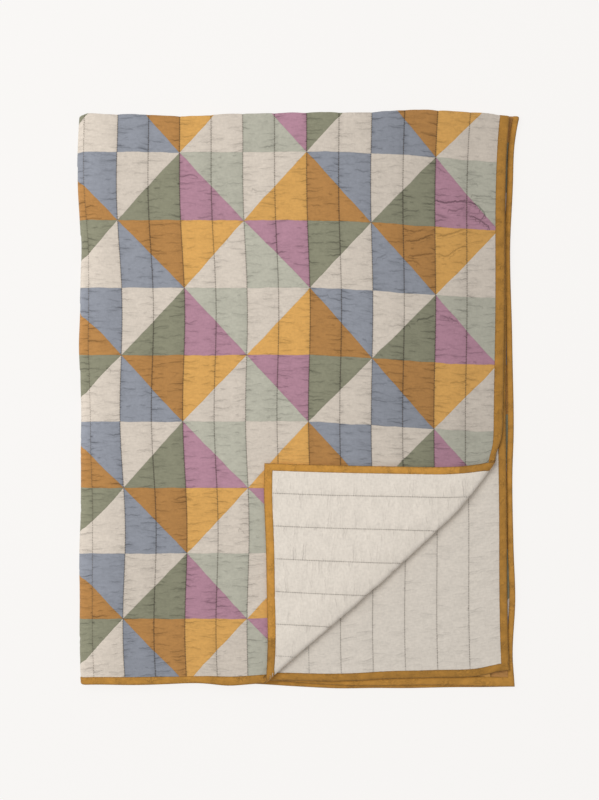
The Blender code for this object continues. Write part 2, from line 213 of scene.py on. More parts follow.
# The corner turned back over the diagonal
ROLL_RADIUS = 0.0045
SETTLE_RADIUS = 0.060
CREASE_X = 0.5205
CREASE_Y = -0.8049
CREASE_ANGLE = math.radians(42.5)
SLIDE = 0.103
FADE_BEFORE = 0.030
FADE_PAST = 0.060
CREASE_EDGE = (  # how the rolled edge strays from a straight diagonal: along, outward
    (-0.247, -0.004),
    (-0.104, 0.0007),
    (0.053, 0.0026),
    (0.209, -0.004),
    (0.255, -0.0125),
    (0.293, -0.020),
)
FOLD_CORNER = (-0.37042, 0.49288)
SETTLE_ANGLE = math.acos(1 - (2 * ROLL_RADIUS - PITCH) / (ROLL_RADIUS + SETTLE_RADIUS))
ROLL_LENGTH = ROLL_RADIUS * (math.pi + SETTLE_ANGLE)
SETTLE_LENGTH = SETTLE_RADIUS * SETTLE_ANGLE
TAKEN_UP = (ROLL_RADIUS + SETTLE_RADIUS) * (SETTLE_ANGLE - math.sin(SETTLE_ANGLE))
ROLL_START = -(math.pi * ROLL_RADIUS + TAKEN_UP) / 2

# How finely the cloth is drawn
CHANNEL_COLUMNS = (0.0, 0.025, 0.07, 0.16, 0.30, 0.44, 0.56, 0.70, 0.84, 0.93, 0.975)
HIDDEN_COLUMNS = (0.0, 0.5)
ROWS_A_PATCH = 42
HIDDEN_ROWS = 3
BEND_LINES = 14  # lines of points round each fold
BEND_REACH = 0.012
ROLL_LINES = 10  # lines of points round the turned corner's edge
SETTLE_SHARES = (0.35, 0.7, 1.0)  # and on the slope past it
ROLL_DIM = 0.055  # how far the painted shade on the turned corner reaches from its rolled edge
SHOWN_CORNER = 0.330  # how far in from its corner the backing can be seen
BACKING_STEP = 0.0029
HIDDEN_COLUMN = 0.0278  # the backing's steps where it can't be seen
HIDDEN_ROW = 0.023
NEAREST = 0.0004  # between two lines of points
BINDING_STEP = 0.0036
NO_DISTANCE = 1e-6
GRID_SLACK = 1e-5
HALVINGS = 24
NEAR_CREASE = 0.120
SEED = 20

# The relief, in metres and shares
LUMP = 0.0003  # how uneven a crown is
LUMP_WAVES = 9
LUMP_SIZE = 0.035
BACK_LUMP_SIZE = 0.045
FRONT_DROP = 0.0002  # how far the crowns stay under their full height
BACK_DROP = 0.0003
BACK_RAISE = 0.0003  # how much less deep its quilting lines are than the front's
SEAM_DIP = 0.00028  # across a row seam
SEAM_WIDE = 0.0022
EDGE_REACH = 0.012  # how far in from the binding the cloth comes to its full height
BEND_CLEAR = 0.008
BEND_EASE = 0.030
BEND_RELIEF = 0.7  # the share of the creases' depth that is left on a bend
BACK_CREASED = 0.55  # the back's creases beside the front's
CREASE_TROUGH = 0.0024  # half the width of a main crease
CREASE_REACH = 0.0060  # how far from it the cloth is changed
CREASE_LIPS = (0.6, 0.005, 0.003)  # the ridges beside it: share of its depth, place, half width
CREASE_STEP = 0.0005
CREASE_END = 0.002  # how far past its last point it fades
CREASE_FADE = 0.005
MAIN_SHARE = 0.8  # the depth of a main crease beside the deepest washing crease
SHORT_LONG = (0.006, 0.017)  # the short washing creases: least and most half length
SHORT_WIDE = (0.0014, 0.0026)
SHORT_START = (0.2, 1.1)  # their middle's distance from the quilting line, in half lengths
SHORT_GAP = (0.45, 1.7)  # from one to the next, in crease spacings
LONGER_LONG = (0.010, 0.026)  # the longer ones across the crowns
LONGER_WIDE = (0.0020, 0.0042)
LONGER_DEPTH = (0.10, 0.45)
LONGER_SPACE = 0.021  # along a channel, for each of them
SPOT_LONG = 1.6  # how far a crease reaches, in half lengths
SPOT_WIDE = 4  # and in half widths

# The stitches and the binding
STITCH_ALONG = 0.00015  # how far a stitch strays along its line
STITCH_SIDE = 0.00012  # and to its side
STITCH_UNEVEN = (0.85, 1.15)
STITCH_RISE = 0.0002
PUCKER_WIDE = (0.0022, 0.0045)
PUCKER_DEPTH = (0.25, 1.0)
PUCKER_GAP = (0.006, 0.017)
PUCKER_RAISE = 0.35

# The stage
KEY_PLACE = (-1.15, 0.6, 2.3)
KEY_SIZE = 1.9
FLOOR_GLOW = 0.90  # the share of the paper's brightness that glows, so that shadows on it stay faint
FLOOR_DROP = 0.0003
CAMERA_X = 0.00172
CAMERA_Y = -0.00106


def colour_of(red, green, blue):
    """A colour given as it looks on a screen, from 0 to 255, in the linear values Blender uses."""
    values = []
    for part in (red, green, blue):
        share = part / 255
        values.append(share / 12.92 if share <= 0.04045 else ((share + 0.055) / 1.055) ** 2.4)
    return values


def length_prop(name, description, default):
    """A setting in metres."""
    return bpy.props.FloatProperty(
        name=name, description=description, default=default, min=0.0, unit="LENGTH", precision=5
    )


def colour_prop(name, description, default):
    """A setting that holds a colour."""
    return bpy.props.FloatVectorProperty(
        name=name, description=description, default=default, size=3, subtype="COLOR", min=0.0, max=1.0
    )


class QuiltSizes(bpy.types.PropertyGroup):
    """The sizes of the quilting, the creases and the binding"""

    crown_half: length_prop("Crown", "Half the cloth's thickness at a channel's crown", CROWN_HALF)
    stitch_half: length_prop("Stitched", "Half its thickness at a quilting line", STITCH_HALF)
    stitch_pitch: length_prop("Stitch pitch", "From one hand stitch to the next", 0.0030)
    stitch_length: length_prop("Stitch length", "How much of a stitch's thread shows", 0.0021)
    thread_width: length_prop("Thread width", "Thickness of the quilting thread", 0.0006)
    crease_depth: length_prop("Crease depth", "Depth of the deepest washing creases", 0.0023)
    crease_spacing: length_prop("Crease spacing", "From one washing crease to the next", 0.0085)
    binding_pucker: length_prop("Binding pucker", "How deep the binding's puckers are", 0.0009)
    photo_shading: bpy.props.FloatProperty(
        name="Photo shading",
        description="How far the tones repeat the photograph's light and shade; 0 for even cloth",
        default=1.0,
        min=0.0,
        max=1.0,
    )


class QuiltColours(bpy.types.PropertyGroup):
    """The colours of the patches, the back, the binding and the thread"""

    cream: colour_prop("Cream", "The cream patches", colour_of(226, 214, 200))
    sage: colour_prop("Sage", "The pale sage patches", colour_of(196, 194, 178))
    green: colour_prop("Green", "The green patches", colour_of(149, 148, 125))
    blue: colour_prop("Blue", "The blue patches", colour_of(154, 158, 168))
    mustard: colour_prop("Mustard", "The mustard patches", colour_of(232, 177, 99))
    ochre: colour_prop("Ochre", "The ochre patches", colour_of(192, 140, 81))
    mauve: colour_prop("Mauve", "The mauve patches", colour_of(192, 145, 163))
    backing: colour_prop("Backing", "The plain back", colour_of(246, 236, 223))
    binding: colour_prop("Binding", "The bound edge", colour_of(204, 148, 68))
    thread: colour_prop("Thread", "The quilting thread", colour_of(128, 112, 95))


class QuiltStage(bpy.types.PropertyGroup):
    """The floor, the light and the camera"""

    floor_size: length_prop("Floor size", "Side of the square floor", 14.0)
    camera_height: length_prop("Camera height", "The camera's height over the floor", 3.322)
    lens: bpy.props.FloatProperty(
        name="Lens", description="Focal length on a 36 mm sensor, in mm", default=85.1, min=10.0
    )
    key_power: bpy.props.FloatProperty(
        name="Key light", description="Power of the large light", default=32.0, subtype="POWER"
    )
    fill: bpy.props.FloatProperty(
        name="Fill", description="Strength of the even light all round", default=0.47, min=0.0
    )


# The fold


def ease(share):
    """From 0 to 1 with no corner at either end."""
    share = np.clip(share, 0.0, 1.0)
    return share * share * (3 - 2 * share)


def through(places, rows):
    """The smooth curve through a short table's rows, read at each place and level past its ends."""
    at = np.array([row[0] for row in rows])
    height = np.array([row[1] for row in rows])
    slope = np.gradient(height, at)
    slope[0] = 0.0
    slope[-1] = 0.0
    places = np.clip(places, at[0], at[-1])
    k = np.clip(np.searchsorted(at, places) - 1, 0, len(at) - 2)
    wide = at[k + 1] - at[k]
    s = (places - at[k]) / wide
    start = height[k] * (1 + 2 * s) * (1 - s) ** 2 + slope[k] * wide * s * (1 - s) ** 2
    end = height[k + 1] * s * s * (3 - 2 * s) - slope[k + 1] * wide * s * s * (1 - s)
    return start + end


def unroll(u, v):
    """How far each point of the flat cloth lies past the left fold and past the top fold."""
    across = u - LEFT_FOLD
    along = v - TOP_FOLD
    for _ in range(UNROLL_ROUNDS):
        skew = np.where(across > 0, UPPER_SKEW, LOWER_SKEW)
        share = ease((np.abs(across) - SKEW_FROM) / (SKEW_TO - SKEW_FROM))
        along = v - TOP_FOLD - skew * share
        across = u - LEFT_FOLD + LEAN * np.clip(-along / TOP_FOLD, 0.0, 1.0)
    return across, along


def askew(x, y, across, along):
    """Where a point of a layer really lies, for its place in a stack that is folded square."""
    right = np.clip(x / FULL_X, 0.0, PAST_EDGE)
    depth = np.clip(-y, 0.0, None)
    down = np.clip(depth / FULL_Y, 0.0, PAST_EDGE)
    upper = across > 0
    outer = along < 0
    layers = (
        ("first", upper & outer),
        ("second", upper & ~outer),
        ("third", ~upper & ~outer),
        ("fourth", ~upper & outer),
    )
    new_x = x.copy()
    new_y = y.copy()
    for name, inside in layers:
        shift = LAYER_SHIFTS[name]
        new_x += np.where(inside, shift[0] * right * down, 0.0)
        new_y += np.where(inside, shift[1] * right * down, 0.0)
        new_x += np.where(inside, through(down, RIGHT_EDGES[name]) * right**3, 0.0)
        new_y += np.where(inside, through(x, NEAR_EDGES[name]) * down * down, 0.0)
    curl = through(x, NEAR_CURL) * ease(1 - (FULL_Y - depth) / CURL_DEPTH)
    new_y += np.where(outer, curl, 0.0)
    new_x += through(down, LEFT_EDGE) * ease(1 - (x + LEFT_RADIUS + TOP_RADIUS) / LEFT_WIDE)
    new_y += through(x, TOP_EDGE) * np.exp(-depth / TOP_DEPTH)
    flare = np.where(upper, UPPER_FLARE, LOWER_FLARE)
    new_x += flare * right**3 * np.exp(-depth / FLARE_DEPTH)
    wave = np.where(upper, through(x, UPPER_WAVE), through(x, LOWER_WAVE))
    new_y += wave * np.exp(-depth / WAVE_DEPTH)
    sag = ease(1 - (x + LEFT_RADIUS + TOP_RADIUS) / CORNER_WIDE)
    new_y -= CORNER_SAG * sag * np.exp(-depth / CORNER_DEPTH)
    sway = np.sin(2 * math.pi * (depth - SWAY_START) / SWAY_LENGTH)
    new_x += SWAY * sway * (1 - SWAY_LOST * right)
    bow = np.sin(math.pi * np.clip(x / TOP_BOW_WIDE, 0.0, 1.0))
    new_x -= TOP_BOW * bow * np.exp(-depth / WAVE_DEPTH)
    new_y -= SAG * np.sin(math.pi * np.clip(down, 0.0, 1.0))
    new_y += RIPPLE * np.sin(2 * math.pi * np.clip(x, 0.0, None) / RIPPLE_LENGTH) * down
    return new_x, new_y


def from_crease(x, y):
    """How far a point is past the diagonal, and how far along it."""
    over_x = x - CREASE_X
    over_y = y - CREASE_Y
    past = over_x * math.sin(CREASE_ANGLE) - over_y * math.cos(CREASE_ANGLE)
    along = over_x * math.cos(CREASE_ANGLE) + over_y * math.sin(CREASE_ANGLE)
    return past, along


def roll_profile(s):
    """The rolled edge's section: how far out and up it is, and its heading, at a length round it."""
    turn = np.minimum(s / ROLL_RADIUS, math.pi + SETTLE_ANGLE)
    settled = np.clip((s - ROLL_LENGTH) / SETTLE_RADIUS, 0.0, SETTLE_ANGLE)
    left = SETTLE_ANGLE - settled
    out = ROLL_RADIUS * np.sin(turn) - SETTLE_RADIUS * (math.sin(SETTLE_ANGLE) - np.sin(left))
    rise = ROLL_RADIUS * (1 - np.cos(turn)) - SETTLE_RADIUS * (np.cos(left) - math.cos(SETTLE_ANGLE))
    return out, rise, turn - settled


def turn_back(x, y, n):
    """The corner past the diagonal, rolled up and over, and laid on the layer that it came from."""
    past, along = from_crease(x, y)
    s = np.clip(past - ROLL_START, 0.0, None)
    out, rise, heading = roll_profile(s)
    out = out - n * np.sin(heading) - np.clip(s - ROLL_LENGTH - SETTLE_LENGTH, 0.0, None)
    rise = rise + n * np.cos(heading)
    fade = np.where(past > 0, FADE_PAST, FADE_BEFORE)
    stray = through(along, CREASE_EDGE) * np.exp(-((past / fade) ** 2))
    along = along - SLIDE * np.clip(past, 0.0, None)
    place = np.where(past > ROLL_START, ROLL_START + out, past) + stray
    new_x = CREASE_X + place * math.sin(CREASE_ANGLE) + along * math.cos(CREASE_ANGLE)
    new_y = CREASE_Y - place * math.cos(CREASE_ANGLE) + along * math.sin(CREASE_ANGLE)
    return new_x, new_y, np.where(past > ROLL_START, rise, n)


def swell(x, y):
    """How much thicker the stack lies here than where it is flattest."""
    left = SWELL_LEFT * np.exp(-np.clip(x, 0.0, None) / SWELL_REACH)
    top = SWELL_TOP * np.exp(-np.clip(-y, 0.0, None) / SWELL_REACH)
    wave = np.sin(math.pi * x / FULL_X * SWELL_HUMPS[0])
    wave *= np.cos(math.pi * y / FULL_Y * SWELL_HUMPS[1])
    return 1 + left + top + SWELL_WAVE * wave


def fold(points):
    """Points of the flat cloth, as u, v and n, laid up into the folded blanket."""
    u, v, n = np.asarray(points, dtype=float).T
    across, along = unroll(u, v)
    angle = np.clip(along / TOP_RADIUS, -math.pi / 2, math.pi / 2)
    y = (TOP_RADIUS + n) * np.cos(angle) - np.abs(along - angle * TOP_RADIUS)
    lift = -(TOP_RADIUS + n) * np.sin(angle)
    turn = np.clip(across / LEFT_RADIUS, -math.pi / 2, math.pi / 2)
    x = np.abs(across - turn * LEFT_RADIUS) - (LEFT_RADIUS + lift) * np.cos(turn)
    z = (LEFT_RADIUS + lift) * np.sin(turn)
    x, y = askew(x, y, across, along)
    first = (across > LEFT_RADIUS * math.pi / 2) & (along < -TOP_RADIUS * math.pi / 2)
    middle = LEFT_RADIUS + TOP_RADIUS
    turned_x, turned_y, height = turn_back(x, y, n)
    x = np.where(first, turned_x, x)
    y = np.where(first, turned_y, y)
    z = np.where(first, middle + height, z)
    z = np.clip(z + middle + UNDER_HALF, 0.0, None) * swell(x, y)
    return np.stack([x + FOLD_CORNER[0], y + FOLD_CORNER[1], z], axis=1)


def past_crease(points):
    """How far points of the uppermost layer, still flat, lie past the diagonal."""
    u, v, _ = np.asarray(points, dtype=float).T
    across, along = unroll(u, v)
    x = across - LEFT_RADIUS * math.pi / 2
    y = along + TOP_RADIUS * math.pi / 2
    x, y = askew(x, y, np.abs(across), -np.abs(along))
    return from_crease(x, y)[0]


def cut_round_roll(bm):
    """Cut the uppermost layer along the turned corner's edge, so that it rolls over smoothly."""
    flat = np.array([v.co for v in bm.verts])
    across, along = unroll(flat[:, 0], flat[:, 1])
    past = past_crease(flat)
    near = (np.abs(past) < NEAR_CREASE) & (across > 0) & (along < 0)
    faces = [f for f in bm.faces if any(near[v.index] for v in f.verts)]
    lengths = [*np.linspace(0.0, ROLL_LENGTH, ROLL_LINES + 1)]
    lengths += [ROLL_LENGTH + SETTLE_LENGTH * share for share in SETTLE_SHARES]
    for length in lengths:
        level = ROLL_START + length
        verts = sorted({v for f in faces for v in f.verts}, key=lambda v: tuple(v.co))
        values = past_crease(np.array([v.co for v in verts])) - level
        side = {v: 0 if abs(value) < NO_DISTANCE else value for v, value in zip(verts, values)}
        edges = {e for f in faces for e in f.edges}
        edges = sorted(edges, key=lambda e: tuple(e.verts[0].co + e.verts[1].co))
        crossed = [e for e in edges if side[e.verts[0]] * side[e.verts[1]] < 0]
        start = np.array([e.verts[0].co for e in crossed])
        way = np.array([e.verts[1].co for e in crossed]) - start
        low = np.zeros(len(crossed))
        high = np.ones(len(crossed))
        rising = np.array([side[e.verts[1]] > 0 for e in crossed])
        for _ in range(HALVINGS):
            share = (low + high) / 2
            beyond = (past_crease(start + way * share[:, None]) > level) == rising
            high = np.where(beyond, share, high)
            low = np.where(beyond, low, share)
        for edge, share in zip(crossed, (low + high) / 2):
            _, new = bmesh.utils.edge_split(edge, edge.verts[0], share)
            side[new] = 0
        for face in list(faces):
            on = [v for v in face.verts if side[v] == 0]
            signs = {side[v] > 0 for v in face.verts if side[v] != 0}
            if len(on) == 2 and len(signs) == 2:
                new_face, _ = bmesh.utils.face_split(face, on[0], on[1])
                faces.append(new_face)


# The relief of the cloth, over its flat grid


def stitch_lines():
    """Where the quilting lines run, across the cloth from its left edge."""
    count = int((CLOTH_WIDTH - FIRST_STITCH - 2 * BINDING_WIDTH) / CHANNEL) + 1
    return sorted(CLOTH_WIDTH - FIRST_STITCH - k * CHANNEL for k in range(count))


def turned_lines():
    """Where the quilting lines run on the corner that is turned back."""
    count = int(SHOWN_CORNER / BACK_CHANNEL) + 1
    return [CLOTH_WIDTH - BACK_FIRST - k * BACK_CHANNEL for k in range(count)]


def from_stitches(u, first=FIRST_STITCH, channel=CHANNEL):
    """How far across a channel a place is: 0 at a quilting line and 1 at the crown."""
    share = np.mod((CLOTH_WIDTH - first - u) / channel, 1.0)
    return 1 - np.abs(2 * share - 1)


def unevenness(u, v, size, seed):
    """A smooth random height, mostly between -1 and 1, with lumps of about one size."""
    draw = np.random.default_rng(seed)
    total = np.zeros(np.broadcast(u, v).shape)
    for _ in range(LUMP_WAVES):
        heading = draw.uniform(0, math.pi)
        length = size * draw.uniform(1.4, 3.2)
        start = draw.uniform(0, 2 * math.pi)
        place = (u * math.cos(heading) + v * math.sin(heading)) / length
        total = total + np.sin(2 * math.pi * place + start)
    return total / LUMP_WAVES**0.5


def add_creases(height, columns, rows, spots):
    """Press short soft creases into a grid of heights.

    Each spot is a crease's place across and along, its half length and half width, its depth, its
    slope and its bow.
    """
    for across, along, long, wide, depth, slope, bow in spots:
        far_end = SPOT_LONG * long
        left, right = np.searchsorted(columns, (across - far_end, across + far_end))
        reach = SPOT_WIDE * wide + far_end * abs(slope) + abs(bow)
        near, far = np.searchsorted(rows, (along - reach, along + reach))
        if left == right or near == far:
            continue
        over = (columns[left:right] - across) / long
        middle = along + slope * long * over + bow * (over * over - 0.3)
        off = (rows[near:far, None] - middle[None, :]) / wide
        shape = (1 - 0.35 * off * off) * np.exp(-0.5 * off * off)
        height[near:far, left:right] -= depth * shape * np.exp(-(over**4))[None, :]


def washing_creases(sizes, left, right, near, far, seed):
    """The short creases that washing leaves between the quilting lines of one stretch of cloth."""
    draw = np.random.default_rng(seed)
    spots = []
    for line in stitch_lines():
        for side in (-1, 1):
            along = near + draw.uniform(0.0, sizes.crease_spacing)
            while along < far:
                long = draw.uniform(*SHORT_LONG)
                across = line + side * draw.uniform(*SHORT_START) * long
                strong = draw.beta(1.2, 3.2)
                if left < across < right:
                    wide = draw.uniform(*SHORT_WIDE)
                    depth = sizes.crease_depth * (0.12 + 0.88 * strong)
                    slope = draw.normal(0.05 * side, 0.16)
                    bow = draw.normal(0.0, 0.0012)
                    spots.append((across, along, long, wide, depth, slope, bow))
                along += sizes.crease_spacing * draw.uniform(*SHORT_GAP)
    return spots


def middle_creases(sizes, left, right, near, far, seed):
    """Longer, softer creases that cross the crowns of the channels."""
    draw = np.random.default_rng(seed)
    count = int((right - left) * (far - near) / (CHANNEL * LONGER_SPACE))
    spots = []
    for _ in range(count):
        across = draw.uniform(left, right)
        along = draw.uniform(near, far)
        long = draw.uniform(*LONGER_LONG)
        wide = draw.uniform(*LONGER_WIDE)
        depth = sizes.crease_depth * draw.uniform(*LONGER_DEPTH)
        slope = draw.normal(0.0, 0.22)
        bow = draw.normal(0.0, 0.0025)
        spots.append((across, along, long, wide, depth, slope, bow))
    return spots


MAIN_CREASES = (  # given one by one: strength, then points across and along the cloth
    (1.0, ((1.371, 0.8600), (1.385, 0.8573), (1.396, 0.8590), (1.410, 0.8606), (1.426, 0.8630))),
    (1.0, ((1.428, 0.8610), (1.440, 0.8590), (1.452, 0.8510), (1.463, 0.8385))),
    (0.9, ((1.430, 0.8375), (1.445, 0.8340), (1.458, 0.8270), (1.468, 0.8200))),
    (0.6, ((1.392, 0.8460), (1.408, 0.8450), (1.424, 0.8515))),
    (0.6, ((1.349, 0.8540), (1.360, 0.8532), (1.369, 0.8538))),
    (0.5, ((1.374, 0.9150), (1.383, 0.9100), (1.394, 0.9070))),
    (0.5, ((1.432, 0.8900), (1.441, 0.8925), (1.449, 0.8920))),
    (0.6, ((1.433, 0.8740), (1.448, 0.8722), (1.466, 0.8725), (1.474, 0.8715))),
    (0.7, ((1.375, 0.8000), (1.392, 0.8030), (1.409, 0.8095), (1.425, 0.8140))),
    (0.6, ((1.376, 0.7700), (1.392, 0.7665), (1.409, 0.7800), (1.424, 0.7850))),
    (0.7, ((1.320, 0.7880), (1.343, 0.7915), (1.369, 0.8020))),
    (0.5, ((1.318, 0.8085), (1.335, 0.8040), (1.355, 0.8110))),
    (0.7, ((1.324, 0.7630), (1.351, 0.7670), (1.369, 0.7700))),
    (0.5, ((1.317, 0.7530), (1.335, 0.7550), (1.347, 0.7480))),
    (0.5, ((1.268, 0.7550), (1.278, 0.7590), (1.286, 0.7625))),
    (0.8, ((1.336, 0.6555), (1.352, 0.6570), (1.370, 0.6630))),
    (0.7, ((1.380, 0.6650), (1.396, 0.6610), (1.412, 0.6560))),
    (0.6, ((1.300, 0.6450), (1.316, 0.6420), (1.330, 0.6440))),
    (0.6, ((0.932, 0.8900), (0.944, 0.8935), (0.960, 0.8900))),
    (0.5, ((0.985, 0.7780), (0.998, 0.7760), (1.010, 0.7850))),
    (0.5, ((1.050, 0.8700), (1.066, 0.8640), (1.083, 0.8660))),
    (0.6, ((0.790, 0.5600), (0.806, 0.5550), (0.822, 0.5570))),
    (0.5, ((1.150, 0.6900), (1.166, 0.6850), (1.184, 0.6880))),
    (0.6, ((0.905, 0.3300), (0.922, 0.3350), (0.938, 0.3320))),
    (0.5, ((1.018, 0.2800), (1.030, 0.2750), (1.046, 0.2770))),
)


def main_creases(columns, rows):
    """The deepest creases over a grid: the distance across the nearest, and its strength here."""
    off = np.full((len(rows), len(columns)), 2 * CREASE_REACH)
    strength = np.zeros(off.shape)
    for strong, points in MAIN_CREASES:
        places = np.array([point[0] for point in points])
        line = through(columns, points)
        rise = through(columns + CREASE_STEP, points) - through(columns - CREASE_STEP, points)
        steep = np.hypot(1.0, rise / 2 / CREASE_STEP)
        over = (rows[:, None] - line[None, :]) / steep[None, :]
        ends = ease((columns - places[0] + CREASE_END) / CREASE_FADE)
        ends = ends * ease((places[-1] + CREASE_END - columns) / CREASE_FADE)
        near = strong * ends[None, :] * ease((CREASE_REACH - np.abs(over)) / (0.5 * CREASE_REACH))
        off = np.where(near > strength, over, off)
        strength = np.maximum(strength, near)
    return off, strength


def edge_share(u, v, covered):
    """0 under the binding and at its stitched edge, and 1 well inside the cloth."""
    inside = np.minimum(np.minimum(u, CLOTH_WIDTH - u), np.minimum(v, CLOTH_LENGTH - v))
    return ease((inside - covered) / EDGE_REACH)


def bend_share(u, v):
    """The share of the creases' depth that is left: less where the cloth bends, and 1 away from it."""
    across, along = unroll(u, v)
    from_bend = np.minimum(np.abs(across), np.abs(along))
    return BEND_RELIEF + (1 - BEND_RELIEF) * ease((from_bend - BEND_CLEAR) / BEND_EASE)


def all_creases(sizes, left, right, near, far, seed):
    """The short and the longer creases of one stretch of cloth."""
    spots = washing_creases(sizes, left, right, near, far, seed)
    return spots + middle_creases(sizes, left, right, near, far, seed + 1)


def front_relief(sizes, columns, rows):
    """How high the patchwork front stands over the cloth's middle surface, over its grid."""
    u = columns[None, :]
    v = rows[:, None]
    across, along = unroll(*np.broadcast_arrays(u, v))
    shown = (across > -0.02) & (along < 0.02)
    under = (across < 0) & (along < 0)
    share = from_stitches(u)
    crown = sizes.crown_half - FRONT_DROP + LUMP * unevenness(u, v, LUMP_SIZE, SEED)
    groove = 1 - (1 - share) ** 4
    height = sizes.stitch_half + (crown - sizes.stitch_half) * groove
    row_seam = np.mod((v - FIRST_ROW) / PATCH_ROW + 0.5, 1.0) - 0.5
    height = height - SEAM_DIP * np.exp(-((row_seam * PATCH_ROW / SEAM_WIDE) ** 2)) * groove
    relief = np.zeros(height.shape)
    spots = all_creases(sizes, LEFT_FOLD - 0.01, CLOTH_WIDTH, 0.0, TOP_FOLD + 0.01, SEED + 1)
    add_creases(relief, columns, rows, spots)
    off, strength = main_creases(columns, rows)
    share, place, wide = CREASE_LIPS
    lips = share * np.exp(-(((np.abs(off) - place) / wide) ** 2))
    pressed = np.exp(-((off / CREASE_TROUGH) ** 2)) - lips
    relief -= MAIN_SHARE * sizes.crease_depth * strength * pressed
    height += relief * bend_share(*np.broadcast_arrays(u, v)) * shown
    height = np.maximum(height, THINNEST)
    height = np.where(under, np.maximum(height, UNDER_HALF), height)
    inside = edge_share(u, v, BINDING_WIDTH)
    return EDGE_HALF + (height - EDGE_HALF) * inside


def back_relief(sizes, columns, rows):
    """How far the backing stands off the cloth's middle surface, over its grid."""
    u = columns[None, :]
    v = rows[:, None]
    share = np.where(v < TOP_FOLD, from_stitches(u, BACK_FIRST, BACK_CHANNEL), from_stitches(u))
    crown = sizes.crown_half - BACK_DROP + LUMP * unevenness(u, v, BACK_LUMP_SIZE, SEED + 5)
    groove = 1 - (1 - share) ** 3
    low = sizes.stitch_half + BACK_RAISE
    height = low + (crown - low) * groove
    relief = np.zeros(height.shape)
    shown = CLOTH_WIDTH - SHOWN_CORNER
    for near, far, seed in ((0.0, SHOWN_CORNER, 6), (CLOTH_LENGTH - SHOWN_CORNER, CLOTH_LENGTH, 8)):
        spots = all_creases(sizes, shown, CLOTH_WIDTH, near, far, SEED + seed)
        add_creases(relief, columns, rows, spots)
    height = np.maximum(height + BACK_CREASED * relief, THINNEST)
    inside = edge_share(u, v, BINDING_BACK)
    return EDGE_HALF + (height - EDGE_HALF) * inside


# Meshes


def spaced(start, end, step):
    """Even places from start to before end, about a step apart."""
    count = max(1, round((end - start) / step))
    return list(np.linspace(start, end, count, endpoint=False))


def channel_columns(left, right, shares):
    """Lines of points along the cloth, placed alike in each channel between two limits."""
    lines = []
    for k in range(-1, int(CLOTH_WIDTH / CHANNEL) + 1):
        start = CLOTH_WIDTH - FIRST_STITCH - k * CHANNEL
        lines += [start - share * CHANNEL for share in shares]
    return [line for line in lines if left < line < right]


def bend_lines(middle):
    """Closer lines of points round a fold."""
    return list(middle + np.linspace(-BEND_REACH, BEND_REACH, BEND_LINES))


def well_apart(places):
    """Sorted places with any that nearly meet taken out."""
    kept = []
    for place in sorted(places):
        if not kept or place - kept[-1] > NEAREST:
            kept.append(place)
    return np.array(kept)


def front_columns():
    """Where the front's points lie across the cloth."""
    ends = [CLOTH_INSET, BINDING_WIDTH * 0.6, BINDING_WIDTH + 0.001, BINDING_WIDTH + 0.006]
    lines = [*ends, *(CLOTH_WIDTH - end for end in ends)]
    lines += bend_lines(LEFT_FOLD - LEAN / 2)
    lines += channel_columns(BINDING_WIDTH + 0.009, LEFT_FOLD - 0.024, HIDDEN_COLUMNS)
    lines += channel_columns(LEFT_FOLD + 0.008, CLOTH_WIDTH - BINDING_WIDTH - 0.009, CHANNEL_COLUMNS)
    return well_apart(lines)


def front_rows():
    """Where the front's points lie along the cloth."""
    step = PATCH_ROW / ROWS_A_PATCH
    lines = [CLOTH_INSET, *spaced(0.006, TOP_FOLD + 0.005, step)]
    lines += bend_lines(TOP_FOLD + UPPER_SKEW / 2)
    lines += spaced(TOP_FOLD + 0.03, CLOTH_LENGTH - 0.03, PATCH_ROW / HIDDEN_ROWS)
    lines += [CLOTH_LENGTH - end for end in (CLOTH_INSET, BINDING_WIDTH, 0.03)]
    return well_apart(lines)


def back_columns():
    """Where the backing's points lie across the cloth."""
    corner = CLOTH_WIDTH - SHOWN_CORNER
    lines = [CLOTH_INSET, BINDING_BACK, 0.020, *spaced(0.03, LEFT_FOLD - 0.024, HIDDEN_COLUMN)]
    lines += bend_lines(LEFT_FOLD - LEAN / 2)
    lines += spaced(LEFT_FOLD + 0.014, corner, HIDDEN_COLUMN)
    lines += [line for line in (*stitch_lines(), *turned_lines()) if line > corner]
    lines += spaced(corner, CLOTH_WIDTH - CLOTH_INSET, BACKING_STEP)
    lines += [CLOTH_WIDTH - CLOTH_INSET]
    return well_apart(lines)


def back_rows():
    """Where the backing's points lie along the cloth."""
    lines = [CLOTH_INSET, *spaced(0.003, SHOWN_CORNER, BACKING_STEP)]
    lines += spaced(SHOWN_CORNER, TOP_FOLD - 0.02, HIDDEN_ROW)
    lines += list(TOP_FOLD + UPPER_SKEW / 2 + np.linspace(-0.022, 0.022, 2 * BEND_LINES))
    lines += spaced(TOP_FOLD + 0.03, CLOTH_LENGTH - SHOWN_CORNER, HIDDEN_ROW)
    lines += spaced(CLOTH_LENGTH - SHOWN_CORNER, CLOTH_LENGTH - CLOTH_INSET, BACKING_STEP)
    lines += [CLOTH_LENGTH - CLOTH_INSET]
    return well_apart(lines)


def new_object(name, mesh, material):
    """A smooth object in the scene from a mesh and its material."""
    mesh.materials.append(material)
    mesh.shade_smooth()
    obj = bpy.data.objects.new(name, mesh)
    bpy.context.scene.collection.objects.link(obj)
    return obj


def keep_flat_places(mesh, flat):
    """Keep each corner's place on the flat cloth, in metres, as the mesh's texture coordinates."""
    corners = np.empty(len(mesh.loops), dtype=np.int32)
    mesh.loops.foreach_get("vertex_index", corners)
    layer = mesh.uv_layers.new(name="cloth")
    layer.data.foreach_set("uv", flat[corners, :2].astype(np.float32).ravel())


def keep_values(mesh, name, values):
    """Keep a number for each of the mesh's points, for its material to read."""
    layer = mesh.attributes.new(name, "FLOAT", "POINT")
    layer.data.foreach_set("value", values.astype(np.float32))


